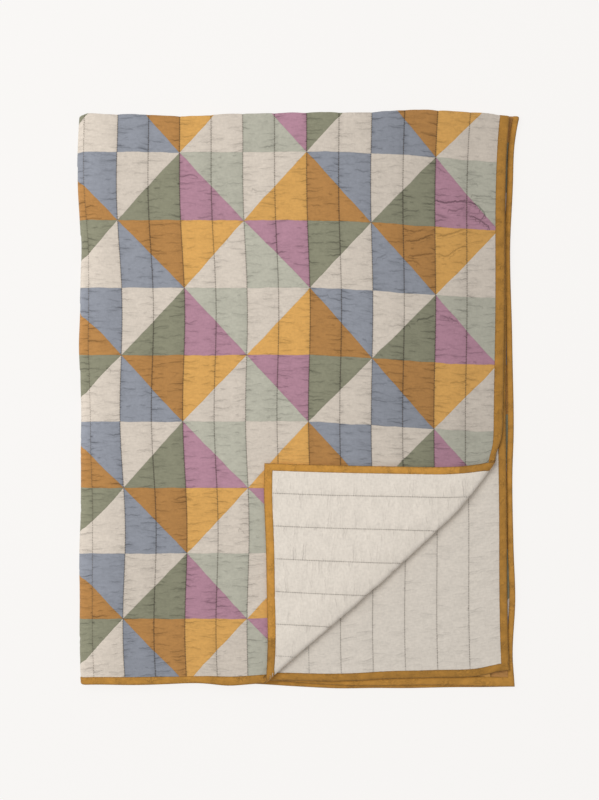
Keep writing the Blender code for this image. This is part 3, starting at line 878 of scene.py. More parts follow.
def places_of(mesh):
    """A mesh's points, one in each row."""
    places = np.empty(len(mesh.vertices) * 3, dtype=np.float32)
    mesh.vertices.foreach_get("co", places)
    return places.reshape(-1, 3)


def keep_main_creases(mesh, flat, columns, rows):
    """Keep the deepest creases' distances and strengths at a mesh's flat places."""
    across = np.clip(np.searchsorted(columns, flat[:, 0] - GRID_SLACK), 0, len(columns) - 1)
    along = np.clip(np.searchsorted(rows, flat[:, 1] - GRID_SLACK), 0, len(rows) - 1)
    off, strength = main_creases(columns, rows)
    keep_values(mesh, "crease_off", off[along, across])
    keep_values(mesh, "crease_strength", strength[along, across])


def cloth_face(name, columns, rows, heights, facing, material):
    """One face of the quilt, as a fine grid over the flat cloth that is folded up."""
    u, v = np.meshgrid(columns, rows)
    flat = np.stack([u.ravel(), v.ravel(), facing * heights.ravel()], axis=1)
    wide = len(columns)
    start = (np.arange(len(rows) - 1)[:, None] * wide + np.arange(wide - 1)[None, :]).ravel()
    quads = np.stack([start, start + 1, start + wide + 1, start + wide], axis=1)
    if facing < 0:
        quads = quads[:, ::-1]
    mesh = bpy.data.meshes.new(name)
    mesh.from_pydata(flat, [], quads.tolist())
    bm = bmesh.new()
    bm.from_mesh(mesh)
    cut_round_roll(bm)
    bm.verts.index_update()
    bm.to_mesh(mesh)
    bm.free()
    flat = places_of(mesh)
    if facing > 0:
        keep_main_creases(mesh, flat, columns, rows)
    else:
        # painted shade along the turned corner's rolled edge, for the backing's material
        keep_values(mesh, "rolled", 1 - ease((past_crease(flat) - ROLL_START) / ROLL_DIM))
    mesh.vertices.foreach_set("co", fold(flat).astype(np.float32).ravel())
    keep_flat_places(mesh, flat)
    mesh.update()
    return new_object(name, mesh, material)


def joined_mesh(name, flat, faces, material):
    """A mesh from points of the flat cloth and faces, folded up."""
    mesh = bpy.data.meshes.new(name)
    mesh.from_pydata(fold(flat), [], faces)
    keep_flat_places(mesh, flat)
    mesh.update()
    return new_object(name, mesh, material)


def stitch_row(sizes, line, rows, heights, facing, draw):
    """Points and faces of one row of hand stitches along a quilting line."""
    count = int((rows[-1] - rows[0]) / sizes.stitch_pitch)
    points = []
    faces = []
    for k in range(count):
        middle = rows[0] + (k + 0.5) * sizes.stitch_pitch + draw.normal(0.0, STITCH_ALONG)
        half = sizes.stitch_length / 2 * draw.uniform(*STITCH_UNEVEN)
        side = draw.normal(0.0, STITCH_SIDE)
        floor = np.interp(middle, rows, heights)
        first = len(points)
        width = sizes.thread_width / 2
        points.append((line + side, middle - half, facing * (floor - width)))
        for at in (-0.5, 0.5):
            for across, up in ((width, 0.0), (0.0, width), (-width, 0.0), (0.0, -width)):
                height = floor + STITCH_RISE + up
                points.append((line + side + across, middle + at * half, facing * height))
        points.append((line + side, middle + half, facing * (floor - width)))
        last = first + 9
        for j in range(4):
            a = first + 1 + j
            b = first + 1 + (j + 1) % 4
            ring = [(first, b, a), (a, b, b + 4, a + 4), (last, a + 4, b + 4)]
            faces += [face if facing > 0 else face[::-1] for face in ring]
    return points, faces


def stitch_points(sizes, spans, heights_at, facing, seed):
    """Rows of stitches joined up. Each span is a quilting line and the rows it shows along."""
    draw = np.random.default_rng(seed)
    points = []
    faces = []
    for line, near, far in spans:
        rows = np.linspace(near, far, max(2, int((far - near) / 0.0015)))
        more, ring = stitch_row(sizes, line, rows, heights_at(line, rows), facing, draw)
        faces += [tuple(i + len(points) for i in face) for face in ring]
        points += more
    return np.array(points), faces


BINDING_SECTION = (  # in from the cloth's edge, over its middle surface, pucker, darkness: the sewing at the hems with painted shade there, and painted shade at the turned edge
    (BINDING_WIDTH, 0.00130, 0.5, 1.0),
    (BINDING_WIDTH - 0.0002, 0.00175, 1.0, 1.0),
    (BINDING_WIDTH - 0.0014, 0.00225, 1.0, 0.15),
    (0.0112, 0.00255, 0.9, 0.0),
    (0.0072, 0.00262, 0.6, 0.0),
    (0.0034, 0.00250, 0.4, 0.0),
    (0.0008, 0.00205, 0.3, 0.2),
    (-0.0008, 0.00115, 0.2, 0.9),
    (-0.0013, 0.0, 0.2, 1.0),
    (-0.0008, -0.00115, 0.2, 0.9),
    (0.0008, -0.00205, 0.3, 0.2),
    (0.0034, -0.00250, 0.4, 0.0),
    (0.0072, -0.00258, 0.6, 0.0),
    (BINDING_BACK - 0.0014, -0.00225, 1.0, 0.15),
    (BINDING_BACK - 0.0002, -0.00175, 1.0, 1.0),
    (BINDING_BACK, -0.00130, 0.5, 1.0),
    (0.0005, -0.00115, 0.0, 0.0),
    (0.0005, 0.00115, 0.0, 0.0),
)


def binding_strand(depth, left_share=1.0):
    """One strand of the binding's points round the cloth's four sides, at a depth from its edge."""
    columns = np.linspace(depth * left_share, CLOTH_WIDTH - depth, round(CLOTH_WIDTH / BINDING_STEP) + 1)
    rows = np.linspace(depth, CLOTH_LENGTH - depth, round(CLOTH_LENGTH / BINDING_STEP) + 1)
    near = [(u, depth) for u in columns[:-1]]
    right = [(CLOTH_WIDTH - depth, v) for v in rows[:-1]]
    far = [(u, CLOTH_LENGTH - depth) for u in columns[:0:-1]]
    left = [(depth * left_share, v) for v in rows[:0:-1]]
    return np.array(near + right + far + left)


def make_binding(name, sizes, material):
    """The binding: a strip folded over the cloth's edge all the way round, with mitred corners."""
    outline = binding_strand(0.0)
    steps = np.linalg.norm(np.roll(outline, -1, axis=0) - outline, axis=1)
    run = np.concatenate([[0.0], np.cumsum(steps)[:-1]])
    draw = np.random.default_rng(SEED + 11)
    pucker = np.zeros(len(run))
    place = 0.0
    while place < run[-1]:
        wide = draw.uniform(*PUCKER_WIDE)
        pucker -= draw.uniform(*PUCKER_DEPTH) * np.exp(-(((run - place) / wide) ** 2))
        place += draw.uniform(*PUCKER_GAP)
    pucker += PUCKER_RAISE
    flat = []
    for depth, height, share, _ in BINDING_SECTION:
        strand = binding_strand(depth, BINDING_LEFT_SHARE if height > 0 else 1.0)
        lean = np.roll(pucker, int(share * 2))
        up = height + math.copysign(sizes.binding_pucker, height) * share * lean
        flat.append(np.column_stack([strand, up]))
    count = len(run)
    faces = []
    for k in range(len(flat)):
        m = (k + 1) % len(flat)
        for i in range(count):
            j = (i + 1) % count
            faces.append((k * count + j, k * count + i, m * count + i, m * count + j))
    binding = joined_mesh(name, np.concatenate(flat), faces, material)
    # darkness of the sewing at the hems with painted shade there and at the turned edge, from the section's
    # last column
    keep_values(binding.data, "sewing_and_painted_shade", np.repeat([row[3] for row in BINDING_SECTION], count))
    return binding


# Materials


def add_node(tree, kind, inputs=None, **settings):
    """A node with its settings, whose inputs are values or other nodes' sockets."""
    node = tree.nodes.new(kind)
    for name, value in settings.items():
        setattr(node, name, value)
    for name, value in (inputs or {}).items():
        if isinstance(value, bpy.types.NodeSocket):
            tree.links.new(value, node.inputs[name])
        else:
            node.inputs[name].default_value = value
    return node


def maths(tree, operation, *values):
    """The output of a Math node over values or sockets."""
    return add_node(tree, "ShaderNodeMath", dict(enumerate(values)), operation=operation).outputs[0]


def times(tree, first, second):
    """One value or socket multiplied by another."""
    return maths(tree, "MULTIPLY", first, second)


def minus(tree, first, second):
    """One value or socket less another."""
    return maths(tree, "SUBTRACT", first, second)


def fading(tree, value, start, end):
    """1 up to a start, and 0 from an end on."""
    return minus(tree, 1.0, in_range(tree, value, start, end))


def dimmed(tree, tone, mask, dim):
    """A tone brought down to a share of itself where a mask is 1."""
    return times(tree, tone, in_range(tree, mask, 0.0, 1.0, 1.0, dim))


def mixed(tree, blend, share, first, second):
    """The colour output of a Mix node over colours or sockets."""
    node = add_node(tree, "ShaderNodeMix", data_type="RGBA", blend_type=blend, clamp_factor=True)
    for place, value in ((0, share), (6, first), (7, second)):
        if isinstance(value, bpy.types.NodeSocket):
            tree.links.new(value, node.inputs[place])
        else:
            node.inputs[place].default_value = value
    return node.outputs[2]


SOCKET_KINDS = {"Cloth": "NodeSocketVector", "Colour": "NodeSocketColor"}  # the rest hold a number


def new_group(name, inputs, outputs):
    """An empty shader node group: its tree, what comes into it and what it puts out."""
    tree = bpy.data.node_groups.new(name, "ShaderNodeTree")
    for labels, way in ((inputs, "INPUT"), (outputs, "OUTPUT")):
        for label in labels:
            kind = SOCKET_KINDS.get(label, "NodeSocketFloat")
            tree.interface.new_socket(name=label, in_out=way, socket_type=kind)
    return tree, tree.nodes.new("NodeGroupInput").outputs, tree.nodes.new("NodeGroupOutput").inputs


def parts_of(tree, vector):
    """The X, Y and Z sockets of a vector."""
    return add_node(tree, "ShaderNodeSeparateXYZ", {0: vector}).outputs


def kept_value(tree, name):
    """A number that a mesh keeps at its points."""
    return add_node(tree, "ShaderNodeAttribute", attribute_name=name).outputs["Fac"]


def drawn_lot(tree, x, y, z):
    """Random numbers and a random colour, always the same for the same three whole numbers."""
    place = add_node(tree, "ShaderNodeCombineXYZ", {"X": x, "Y": y, "Z": z}).outputs[0]
    return add_node(tree, "ShaderNodeTexWhiteNoise", {"Vector": place}, noise_dimensions="3D").outputs


def scaled(tree, vector, across, along):
    """Cloth coordinates stretched by a number each way."""
    inputs = {0: vector, 1: (across, along, 1.0)}
    return add_node(tree, "ShaderNodeVectorMath", inputs, operation="MULTIPLY").outputs[0]


def noise(tree, vector, detail=2.0, roughness=0.5):
    """The output of a Noise node, about one lump a unit."""
    settings = {"Vector": vector, "Scale": 1.0, "Detail": detail, "Roughness": roughness}
    return add_node(tree, "ShaderNodeTexNoise", settings).outputs[0]


def cloth_noise(tree, cloth, across, along, detail=2.0, roughness=0.5):
    """Noise on the flat cloth, with this many lumps to the metre across and along it."""
    return noise(tree, scaled(tree, cloth, across, along), detail, roughness)


def in_range(tree, value, low, high, to_low=0.0, to_high=1.0):
    """A value taken from one range to another, and level past both ends."""
    settings = {"Value": value, "From Min": low, "From Max": high, "To Min": to_low, "To Max": to_high}
    return add_node(tree, "ShaderNodeMapRange", settings).outputs[0]


def cotton_group():
    """Washed cotton: its plain weave, its uneven threads and its faded patches."""
    tree, entry, result = new_group(
        "Washed cotton", inputs=("Cloth",), outputs=("Tone", "Height", "Roughness")
    )
    cloth = entry["Cloth"]
    weft = cloth_noise(tree, cloth, 90.0, 1300.0, 1.0)
    warp = cloth_noise(tree, cloth, 1300.0, 90.0, 1.0)
    faded = cloth_noise(tree, cloth, 34.0, 44.0, 3.0, 0.6)
    mottled = cloth_noise(tree, cloth, 170.0, 260.0, 2.0)
    threads = maths(tree, "ADD", weft, warp)
    tone = maths(tree, "MULTIPLY_ADD", threads, 0.16, 0.84)
    tone = maths(tree, "MULTIPLY_ADD", faded, 0.18, minus(tree, tone, 0.09))
    tone = maths(tree, "MULTIPLY_ADD", mottled, 0.26, minus(tree, tone, 0.13))
    thread = parts_of(tree, scaled(tree, cloth, 9000.0, 9000.0))
    over = maths(tree, "SINE", thread["X"])
    under = maths(tree, "SINE", thread["Y"])
    weave = times(tree, over, under)
    height = maths(tree, "MULTIPLY_ADD", weave, 0.10, times(tree, threads, 0.5))
    height = maths(tree, "MULTIPLY_ADD", mottled, 0.6, height)
    tree.links.new(tone, result["Tone"])
    tree.links.new(height, result["Height"])
    tree.links.new(in_range(tree, mottled, 0.3, 0.7, 0.82, 0.95), result["Roughness"])


def crease_group():
    """Fine washing creases that wander across the channels, too small to be modelled; the materials paint
    shade where their crease mask is.
    """
    tree, entry, result = new_group(
        "Fine creases", inputs=("Cloth", "Across", "Along"), outputs=("Height", "Crease")
    )
    stretch = add_node(tree, "ShaderNodeCombineXYZ", {"X": entry["Across"], "Y": entry["Along"]})
    inputs = {0: entry["Cloth"], 1: stretch.outputs[0]}
    node = add_node(tree, "ShaderNodeVectorMath", inputs, operation="MULTIPLY")
    waves = noise(tree, node.outputs[0], 3.0, 0.55)
    off = maths(tree, "ABSOLUTE", minus(tree, waves, 0.5))
    crease = fading(tree, off, 0.0, 0.055)
    strength = in_range(tree, cloth_noise(tree, entry["Cloth"], 31.0, 55.0, 1.0), 0.42, 0.66)
    crease = times(tree, crease, strength)
    height = minus(tree, times(tree, waves, 1.2), crease)
    tree.links.new(height, result["Height"])
    tree.links.new(crease, result["Crease"])


def washing_group():
    """Short creases that run out from the quilting lines, each cell of cloth with one of its own; the
    materials paint shade on their crease mask.
    """
    tree, entry, result = new_group(
        "Washing creases",
        inputs=("Cloth", "Spacing", "Start", "Reach", "Seed", "First", "Channel"),
        outputs=("Crease", "Ridge"),
    )
    cloth = entry["Cloth"]
    spacing = entry["Spacing"]
    place = parts_of(tree, cloth)
    lines = minus(tree, place["X"], entry["First"])
    lines = maths(tree, "DIVIDE", lines, entry["Channel"])
    nearest = maths(tree, "ROUND", lines)
    off = times(tree, minus(tree, lines, nearest), entry["Channel"])
    side = maths(tree, "GREATER_THAN", off, 0.0)
    distance = minus(tree, maths(tree, "ABSOLUTE", off), entry["Start"])
    wave = cloth_noise(tree, cloth, 75.0, 38.0, 2.0, 0.6)
    along = maths(tree, "MULTIPLY_ADD", wave, 0.0075, place["Y"])
    shift = maths(tree, "MULTIPLY_ADD", nearest, 0.37, times(tree, side, 0.61))
    cells = maths(tree, "ADD", maths(tree, "DIVIDE", along, spacing), shift)
    strip = maths(tree, "MULTIPLY_ADD", side, 50.0, nearest)
    chance = drawn_lot(tree, strip, maths(tree, "FLOOR", cells), entry["Seed"])
    parts = add_node(tree, "ShaderNodeSeparateColor", {0: chance["Color"]})
    jitter = maths(tree, "MULTIPLY_ADD", parts.outputs[0], 0.5, 0.25)
    lean = times(tree, minus(tree, parts.outputs[1], 0.5), 0.30)
    lean = maths(tree, "DIVIDE", times(tree, lean, distance), spacing)
    from_middle = minus(tree, minus(tree, maths(tree, "FRACT", cells), jitter), lean)
    gap = maths(tree, "ABSOLUTE", times(tree, from_middle, spacing))
    length = times(tree, maths(tree, "POWER", parts.outputs[2], 1.4), entry["Reach"])
    length = maths(tree, "ADD", length, 0.004)
    run = maths(tree, "DIVIDE", maths(tree, "ABSOLUTE", distance), length)
    fade = fading(tree, run, 0.35, 1.0)
    strength = times(tree, maths(tree, "POWER", chance["Value"], 1.1), fade)
    line = fading(tree, gap, 0.0001, 0.0019)
    ridge = fading(tree, gap, 0.0010, 0.0050)
    tree.links.new(times(tree, line, strength), result["Crease"])
    tree.links.new(times(tree, ridge, strength), result["Ridge"])


def quilting_group():
    """How near a place is to a quilting line, as masks of the groove, of the slope beside it and of its
    stitch holes, where the materials paint shade.
    """
    tree, entry, result = new_group(
        "Quilting lines",
        inputs=("Cloth", "Pitch", "First", "Channel"),
        outputs=("Groove", "Holes", "Beside"),
    )
    place = parts_of(tree, entry["Cloth"])
    channel = entry["Channel"]
    across = minus(tree, place["X"], entry["First"])
    share = maths(tree, "FRACT", maths(tree, "DIVIDE", across, channel))
    off = times(tree, maths(tree, "MINIMUM", share, minus(tree, 1.0, share)), channel)
    groove = fading(tree, off, 0.0003, 0.0017)
    from_fold = maths(tree, "ABSOLUTE", minus(tree, place["X"], LEFT_FOLD))
    shown = in_range(tree, from_fold, 0.011, 0.020, 0.3, 1.0)
    groove = times(tree, groove, shown)
    step = maths(tree, "FRACT", maths(tree, "DIVIDE", place["Y"], entry["Pitch"]))
    gap = maths(tree, "MINIMUM", step, minus(tree, 1.0, step))
    hole = fading(tree, gap, 0.10, 0.30)
    near = times(tree, shown, fading(tree, off, 0.0004, 0.0014))
    uneven = cloth_noise(tree, entry["Cloth"], 60.0, 45.0, 2.0)
    beside = fading(tree, off, 0.0005, 0.0100)
    beside = times(tree, beside, in_range(tree, uneven, 0.35, 0.65, 0.2, 1.0))
    tree.links.new(beside, result["Beside"])
    tree.links.new(groove, result["Groove"])
    tree.links.new(times(tree, hole, near), result["Holes"])


PATCH_CHART = (  # row, column, upper half, lower half; the whole repeats every 2 rows and 4 columns
    ("even", 0, "green", "cream"),
    ("even", 1, "ochre", "blue"),
    ("even", 2, "mustard", "cream"),
    ("even", 3, "mauve", "sage"),
    ("odd", 0, "blue", "ochre"),
    ("odd", 1, "cream", "green"),
    ("odd", 2, "sage", "mauve"),
    ("odd", 3, "cream", "mustard"),
)


def patchwork_group(colours):
    """The patchwork: half-square triangles from the chart, with masks of their seams."""
    tree, entry, result = new_group(
        "Patchwork", inputs=("Cloth",), outputs=("Colour", "Seam", "Tone")
    )
    wander = add_node(
        tree,
        "ShaderNodeTexNoise",
        {"Vector": scaled(tree, entry["Cloth"], 30.0, 30.0), "Scale": 1.0, "Detail": 2.0},
    )
    centred = add_node(
        tree, "ShaderNodeVectorMath", {0: wander.outputs["Color"], 1: (0.5, 0.5, 0.5)}, operation="SUBTRACT"
    )
    shifted = add_node(
        tree,
        "ShaderNodeVectorMath",
        {0: centred.outputs[0], 1: (0.0008, 0.0045, 0.0), 2: entry["Cloth"]},
        operation="MULTIPLY_ADD",
    )
    place = parts_of(tree, shifted.outputs[0])
    across = maths(tree, "DIVIDE", minus(tree, place["X"], FIRST_SEAM), 2 * CHANNEL)
    along = maths(tree, "DIVIDE", minus(tree, place["Y"], FIRST_ROW), PATCH_ROW)
    column = maths(tree, "FLOORED_MODULO", maths(tree, "ADD", maths(tree, "FLOOR", across), 2.0), 4.0)
    row = maths(tree, "FLOORED_MODULO", maths(tree, "ADD", maths(tree, "FLOOR", along), 1.0), 2.0)
    right = maths(tree, "FRACT", across)
    up = maths(tree, "FRACT", along)
    leaning = maths(tree, "FLOORED_MODULO", maths(tree, "ADD", column, row), 2.0)
    mirrored = times(tree, leaning, maths(tree, "MULTIPLY_ADD", right, -2.0, 1.0))
    diagonal = maths(tree, "ADD", right, mirrored)
    upper = maths(tree, "GREATER_THAN", up, diagonal)
    index = maths(tree, "MULTIPLY_ADD", row, 8.0, maths(tree, "MULTIPLY_ADD", column, 2.0, upper))
    halves = [name for _, _, above, below in PATCH_CHART for name in (below, above)]
    share = maths(tree, "DIVIDE", maths(tree, "ADD", index, 0.5), float(len(halves)))
    ramp = add_node(tree, "ShaderNodeValToRGB", {0: share})
    ramp.color_ramp.interpolation = "CONSTANT"
    stops = ramp.color_ramp.elements
    while len(stops) < len(halves):
        stops.new(1.0)
    for k, name in enumerate(halves):
        stops[k].position = k / len(halves)
        stops[k].color = (*getattr(colours, name), 1.0)
    off_diagonal = maths(tree, "ABSOLUTE", minus(tree, up, diagonal))
    off_diagonal = times(tree, off_diagonal, PATCH_ROW * math.sqrt(0.5))
    off_row = maths(tree, "MINIMUM", up, minus(tree, 1.0, up))
    off_row = times(tree, off_row, PATCH_ROW)
    off_seam = maths(tree, "MINIMUM", off_diagonal, off_row)
    seam = fading(tree, off_seam, 0.0001, 0.0012)
    chance = drawn_lot(tree, maths(tree, "FLOOR", across), maths(tree, "FLOOR", along), upper)
    tree.links.new(ramp.outputs[0], result["Colour"])
    tree.links.new(seam, result["Seam"])
    tree.links.new(in_range(tree, chance["Value"], 0.0, 1.0, 0.965, 1.035), result["Tone"])


def shared_groups(colours):
    """Make the node groups that the materials share, once."""
    if "Washed cotton" not in bpy.data.node_groups:
        cotton_group()
        crease_group()
        washing_group()
        quilting_group()
        patchwork_group(colours)


def place_group(tree, name, inputs):
    """The outputs of a shared node group, placed in a material with its own values."""
    return add_node(tree, "ShaderNodeGroup", inputs, node_tree=bpy.data.node_groups[name]).outputs


def new_material(name, sheen):
    """A cloth material: its tree, its shader and the flat cloth's coordinates."""
    material = bpy.data.materials.new(name)
    material.use_nodes = True
    tree = material.node_tree
    shader = tree.nodes["Principled BSDF"]
    shader.inputs["Specular IOR Level"].default_value = 0.25
    shader.inputs["Sheen Weight"].default_value = sheen
    shader.inputs["Sheen Roughness"].default_value = 0.5
    cloth = add_node(tree, "ShaderNodeUVMap", uv_map="cloth").outputs[0]
    return material, tree, shader, cloth


def finished(tree, shader, base, tone, cotton):
    """Give a shader its colour, a base times a tone, and the cotton's roughness."""
    tree.links.new(mixed(tree, "MULTIPLY", 1.0, base, tone), shader.inputs["Base Color"])
    tree.links.new(cotton["Roughness"], shader.inputs["Roughness"])


def bumped(tree, shader, height, distance, strength):
    """Give a shader's surface the small relief of a height."""
    settings = {"Height": height, "Distance": distance, "Strength": strength}
    bump = add_node(tree, "ShaderNodeBump", settings)
    tree.links.new(bump.outputs[0], shader.inputs["Normal"])


def both_creases(tree, cloth, spacing, reach, lines):
    """Creases that start at the quilting lines, joined with others in the middle of the channels."""
    settings = {"Cloth": cloth, "Spacing": spacing, "Start": 0.0, "Reach": reach, "Seed": 1.0, **lines}
    started = place_group(tree, "Washing creases", settings)
    settings |= {"Spacing": spacing * 1.45, "Start": CHANNEL * 0.27, "Reach": reach * 0.7, "Seed": 2.0}
    middle = place_group(tree, "Washing creases", settings)
    crease = maths(tree, "MAXIMUM", started["Crease"], times(tree, middle["Crease"], 0.7))
    ridge = maths(tree, "MAXIMUM", started["Ridge"], times(tree, middle["Ridge"], 0.7))
    return crease, ridge


def main_crease_mask(tree, cloth):
    """The thin floors of the deepest creases, as a mask from the values kept on the mesh, for painted
    shade.
    """
    off = kept_value(tree, "crease_off")
    strength = kept_value(tree, "crease_strength")
    wave = cloth_noise(tree, cloth, 190.0, 60.0, 2.0, 0.6)
    off = maths(tree, "ADD", off, times(tree, minus(tree, wave, 0.5), 0.005))
    floor = fading(tree, maths(tree, "ABSOLUTE", off), 0.0003, 0.0018)
    return times(tree, floor, strength)


def shading(tree, source, start, end, before, after, share):
    """A tone that repeats the photograph's light and shade on the cloth, and isn't a colour of its own.

    At a share of 0 it is 1 all over, for a quilt that is lit in another way or unfolded.
    """
    return in_range(tree, source, start, end, 1 + (before - 1) * share, 1 + (after - 1) * share)


def patchwork_material(name, sizes):
    """Washed cotton patches, with painted shade in the stitched grooves, their holes, the seams and the
    creases.

    The grooves and creases show more on the deeper colours than on the pale ones. Painted shade darkens the
    cloth towards the right, and painted light brightens it beside the left fold.
    """
    material, tree, shader, cloth = new_material(name, 0.08)
    patches = place_group(tree, "Patchwork", {"Cloth": cloth})
    cotton = place_group(tree, "Washed cotton", {"Cloth": cloth})
    creases = place_group(tree, "Fine creases", {"Cloth": cloth, "Across": 38.0, "Along": 125.0})
    stitching = {"Cloth": cloth, "Pitch": sizes.stitch_pitch, **FRONT_LINES}
    lines = place_group(tree, "Quilting lines", stitching)
    crease, ridge = both_creases(tree, cloth, 0.0110, 0.032, FRONT_LINES)
    pressed = main_crease_mask(tree, cloth)
    across = parts_of(tree, cloth)["X"]
    # painted shade towards the right and painted light beside the left fold
    right = shading(tree, across, 1.20, 1.42, 1.0, 0.86, sizes.photo_shading)
    from_fold = maths(tree, "ABSOLUTE", minus(tree, across, LEFT_FOLD))
    fold = shading(tree, from_fold, 0.0, 0.040, 1.14, 1.0, sizes.photo_shading)
    brightness = add_node(tree, "ShaderNodeRGBToBW", {0: patches["Colour"]}).outputs[0]
    paleness = in_range(tree, brightness, 0.25, 0.62)
    tone = times(tree, patches["Tone"], cotton["Tone"])
    tone = times(tree, tone, times(tree, right, fold))
    # painted shade in the grooves, on the slopes beside them, in the stitch holes and in the creases
    for mask, deep, pale in (
        (lines["Groove"], 0.62, 0.84),
        (lines["Beside"], 0.88, 0.94),
        (lines["Holes"], 0.30, 0.60),
        (creases["Crease"], 0.88, 0.94),
        (crease, 0.50, 0.78),
        (pressed, 0.45, 0.70),
    ):
        tone = dimmed(tree, tone, mask, in_range(tree, paleness, 0.0, 1.0, deep, pale))
    # painted shade at the seams
    tone = dimmed(tree, tone, patches["Seam"], 0.95)
    finished(tree, shader, patches["Colour"], tone, cotton)
    height = maths(tree, "MULTIPLY_ADD", cotton["Height"], 0.25, creases["Height"])
    height = maths(tree, "MULTIPLY_ADD", ridge, 4.0, height)
    height = maths(tree, "MULTIPLY_ADD", maths(tree, "MAXIMUM", crease, pressed), -4.0, height)
    height = minus(tree, height, times(tree, patches["Seam"], 0.8))
    height = minus(tree, height, lines["Holes"])
    bumped(tree, shader, height, 0.00035, 0.9)
    return material


def backing_material(name, sizes, colours):
    """Washed plain cotton with shallow creases and stitched lines, with painted shade in its grooves,
    stitch holes and creases, along the turned corner's rolled edge and on the layer below.
    """
    material, tree, shader, cloth = new_material(name, 0.08)
    cotton = place_group(tree, "Washed cotton", {"Cloth": cloth})
    creases = place_group(tree, "Fine creases", {"Cloth": cloth, "Across": 55.0, "Along": 75.0})
    along = parts_of(tree, cloth)["Y"]
    turned = maths(tree, "LESS_THAN", along, TOP_FOLD)
    quilted = {
        "First": in_range(tree, turned, 0.0, 1.0, CLOTH_WIDTH - FIRST_STITCH, CLOTH_WIDTH - BACK_FIRST),
        "Channel": in_range(tree, turned, 0.0, 1.0, CHANNEL, BACK_CHANNEL),
    }
    lines = place_group(tree, "Quilting lines", {"Cloth": cloth, "Pitch": sizes.stitch_pitch, **quilted})
    crease, ridge = both_creases(tree, cloth, 0.017, 0.045, quilted)
    # painted shade along the turned corner's rolled edge
    rolled = kept_value(tree, "rolled")
    rolled = times(tree, rolled, turned)
    rolled = shading(tree, rolled, 0.0, 1.0, 1.0, 0.84, sizes.photo_shading)
    # painted shade on the backing of the layer below, beside the turned corner
    under = shading(tree, turned, 0.0, 1.0, 0.88, 1.0, sizes.photo_shading)
    tone = times(tree, cotton["Tone"], times(tree, rolled, under))
    # painted shade in the grooves, on the slopes beside them, in the stitch holes and in the creases
    for mask, dim in (
        (lines["Groove"], 0.90),
        (lines["Beside"], 0.96),
        (lines["Holes"], 0.64),
        (creases["Crease"], 0.96),
        (crease, 0.89),
    ):
        tone = dimmed(tree, tone, mask, dim)
    finished(tree, shader, (*colours.backing, 1.0), tone, cotton)
    height = maths(tree, "MULTIPLY_ADD", cotton["Height"], 0.25, times(tree, creases["Height"], 0.6))
    height = maths(tree, "MULTIPLY_ADD", ridge, 5.0, height)
    height = maths(tree, "MULTIPLY_ADD", crease, -4.0, height)
    height = minus(tree, height, lines["Holes"])
    bumped(tree, shader, height, 0.00030, 0.8)
    return material


def binding_material(name, sizes, colours):
    """The binding's cotton, unevenly worn, darker at its sewn hems for their hand sewing and painted shade,
    with painted shade at its turned edge and in its creases, painted shade towards the right and painted
    light on the turned corner.
    """
    material, tree, shader, cloth = new_material(name, 0.10)
    cotton = place_group(tree, "Washed cotton", {"Cloth": cloth})
    creases = place_group(tree, "Fine creases", {"Cloth": cloth, "Across": 140.0, "Along": 140.0})
    worn = in_range(tree, cloth_noise(tree, cloth, 60.0, 60.0, 3.0), 0.35, 0.7)
    # painted shade in the fine creases
    tone = dimmed(tree, cotton["Tone"], creases["Crease"], 0.86)
    tone = times(tree, tone, in_range(tree, worn, 0.0, 1.0, 0.90, 1.10))
    place = parts_of(tree, cloth)
    # painted shade towards the right and painted light on the binding of the turned corner
    right = shading(
        tree, place["X"], 0.9, CLOTH_WIDTH - SHOWN_CORNER, 1.0, 0.82, sizes.photo_shading
    )
    corner = maths(tree, "GREATER_THAN", place["X"], CLOTH_WIDTH - SHOWN_CORNER)
    corner = times(tree, corner, maths(tree, "LESS_THAN", place["Y"], SHOWN_CORNER))
    corner = shading(tree, corner, 0.0, 1.0, 1.0, 1.42, sizes.photo_shading)
    tone = times(tree, tone, times(tree, corner, right))
    # the hand sewing at the hems, with painted shade there and at the turned edge
    sewing_and_painted_shade = kept_value(tree, "sewing_and_painted_shade")
    dotted = in_range(tree, cloth_noise(tree, cloth, 260.0, 260.0, 1.0), 0.35, 0.60, 0.45, 1.0)
    sewing_and_painted_shade = times(tree, sewing_and_painted_shade, dotted)
    tone = dimmed(tree, tone, sewing_and_painted_shade, 0.48)
    finished(tree, shader, (*colours.binding, 1.0), tone, cotton)
    height = maths(tree, "MULTIPLY_ADD", cotton["Height"], 0.3, creases["Height"])
    bumped(tree, shader, height, 0.0007, 0.9)
    return material


def thread_material(name, colours):
    """Twisted cotton thread, a little uneven in colour."""
    material, tree, shader, cloth = new_material(name, 0.05)
    uneven = cloth_noise(tree, cloth, 400.0, 900.0, 2.0)
    tone = in_range(tree, uneven, 0.3, 0.7, 0.85, 1.12)
    colour = mixed(tree, "MULTIPLY", 1.0, (*colours.thread, 1.0), tone)
    tree.links.new(colour, shader.inputs["Base Color"])
    shader.inputs["Roughness"].default_value = 0.8
    return material


# The operators, one for each piece


class QUILT_OT_front(bpy.types.Operator):
    """Make the patchwork front with its channels, washing creases and seams"""

    bl_idname = "quilt.front"
    bl_label = "Patchwork front"

    def execute(self, context):
        sizes = context.scene.quilt_sizes
        shared_groups(context.scene.quilt_colours)
        columns = front_columns()
        rows = front_rows()
        heights = front_relief(sizes, columns, rows)
        material = patchwork_material("Patchwork", sizes)
        front = cloth_face("patchwork_front", columns, rows, heights, 1, material)
        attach(front, "root")
        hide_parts("quilt_front")
        return {"FINISHED"}


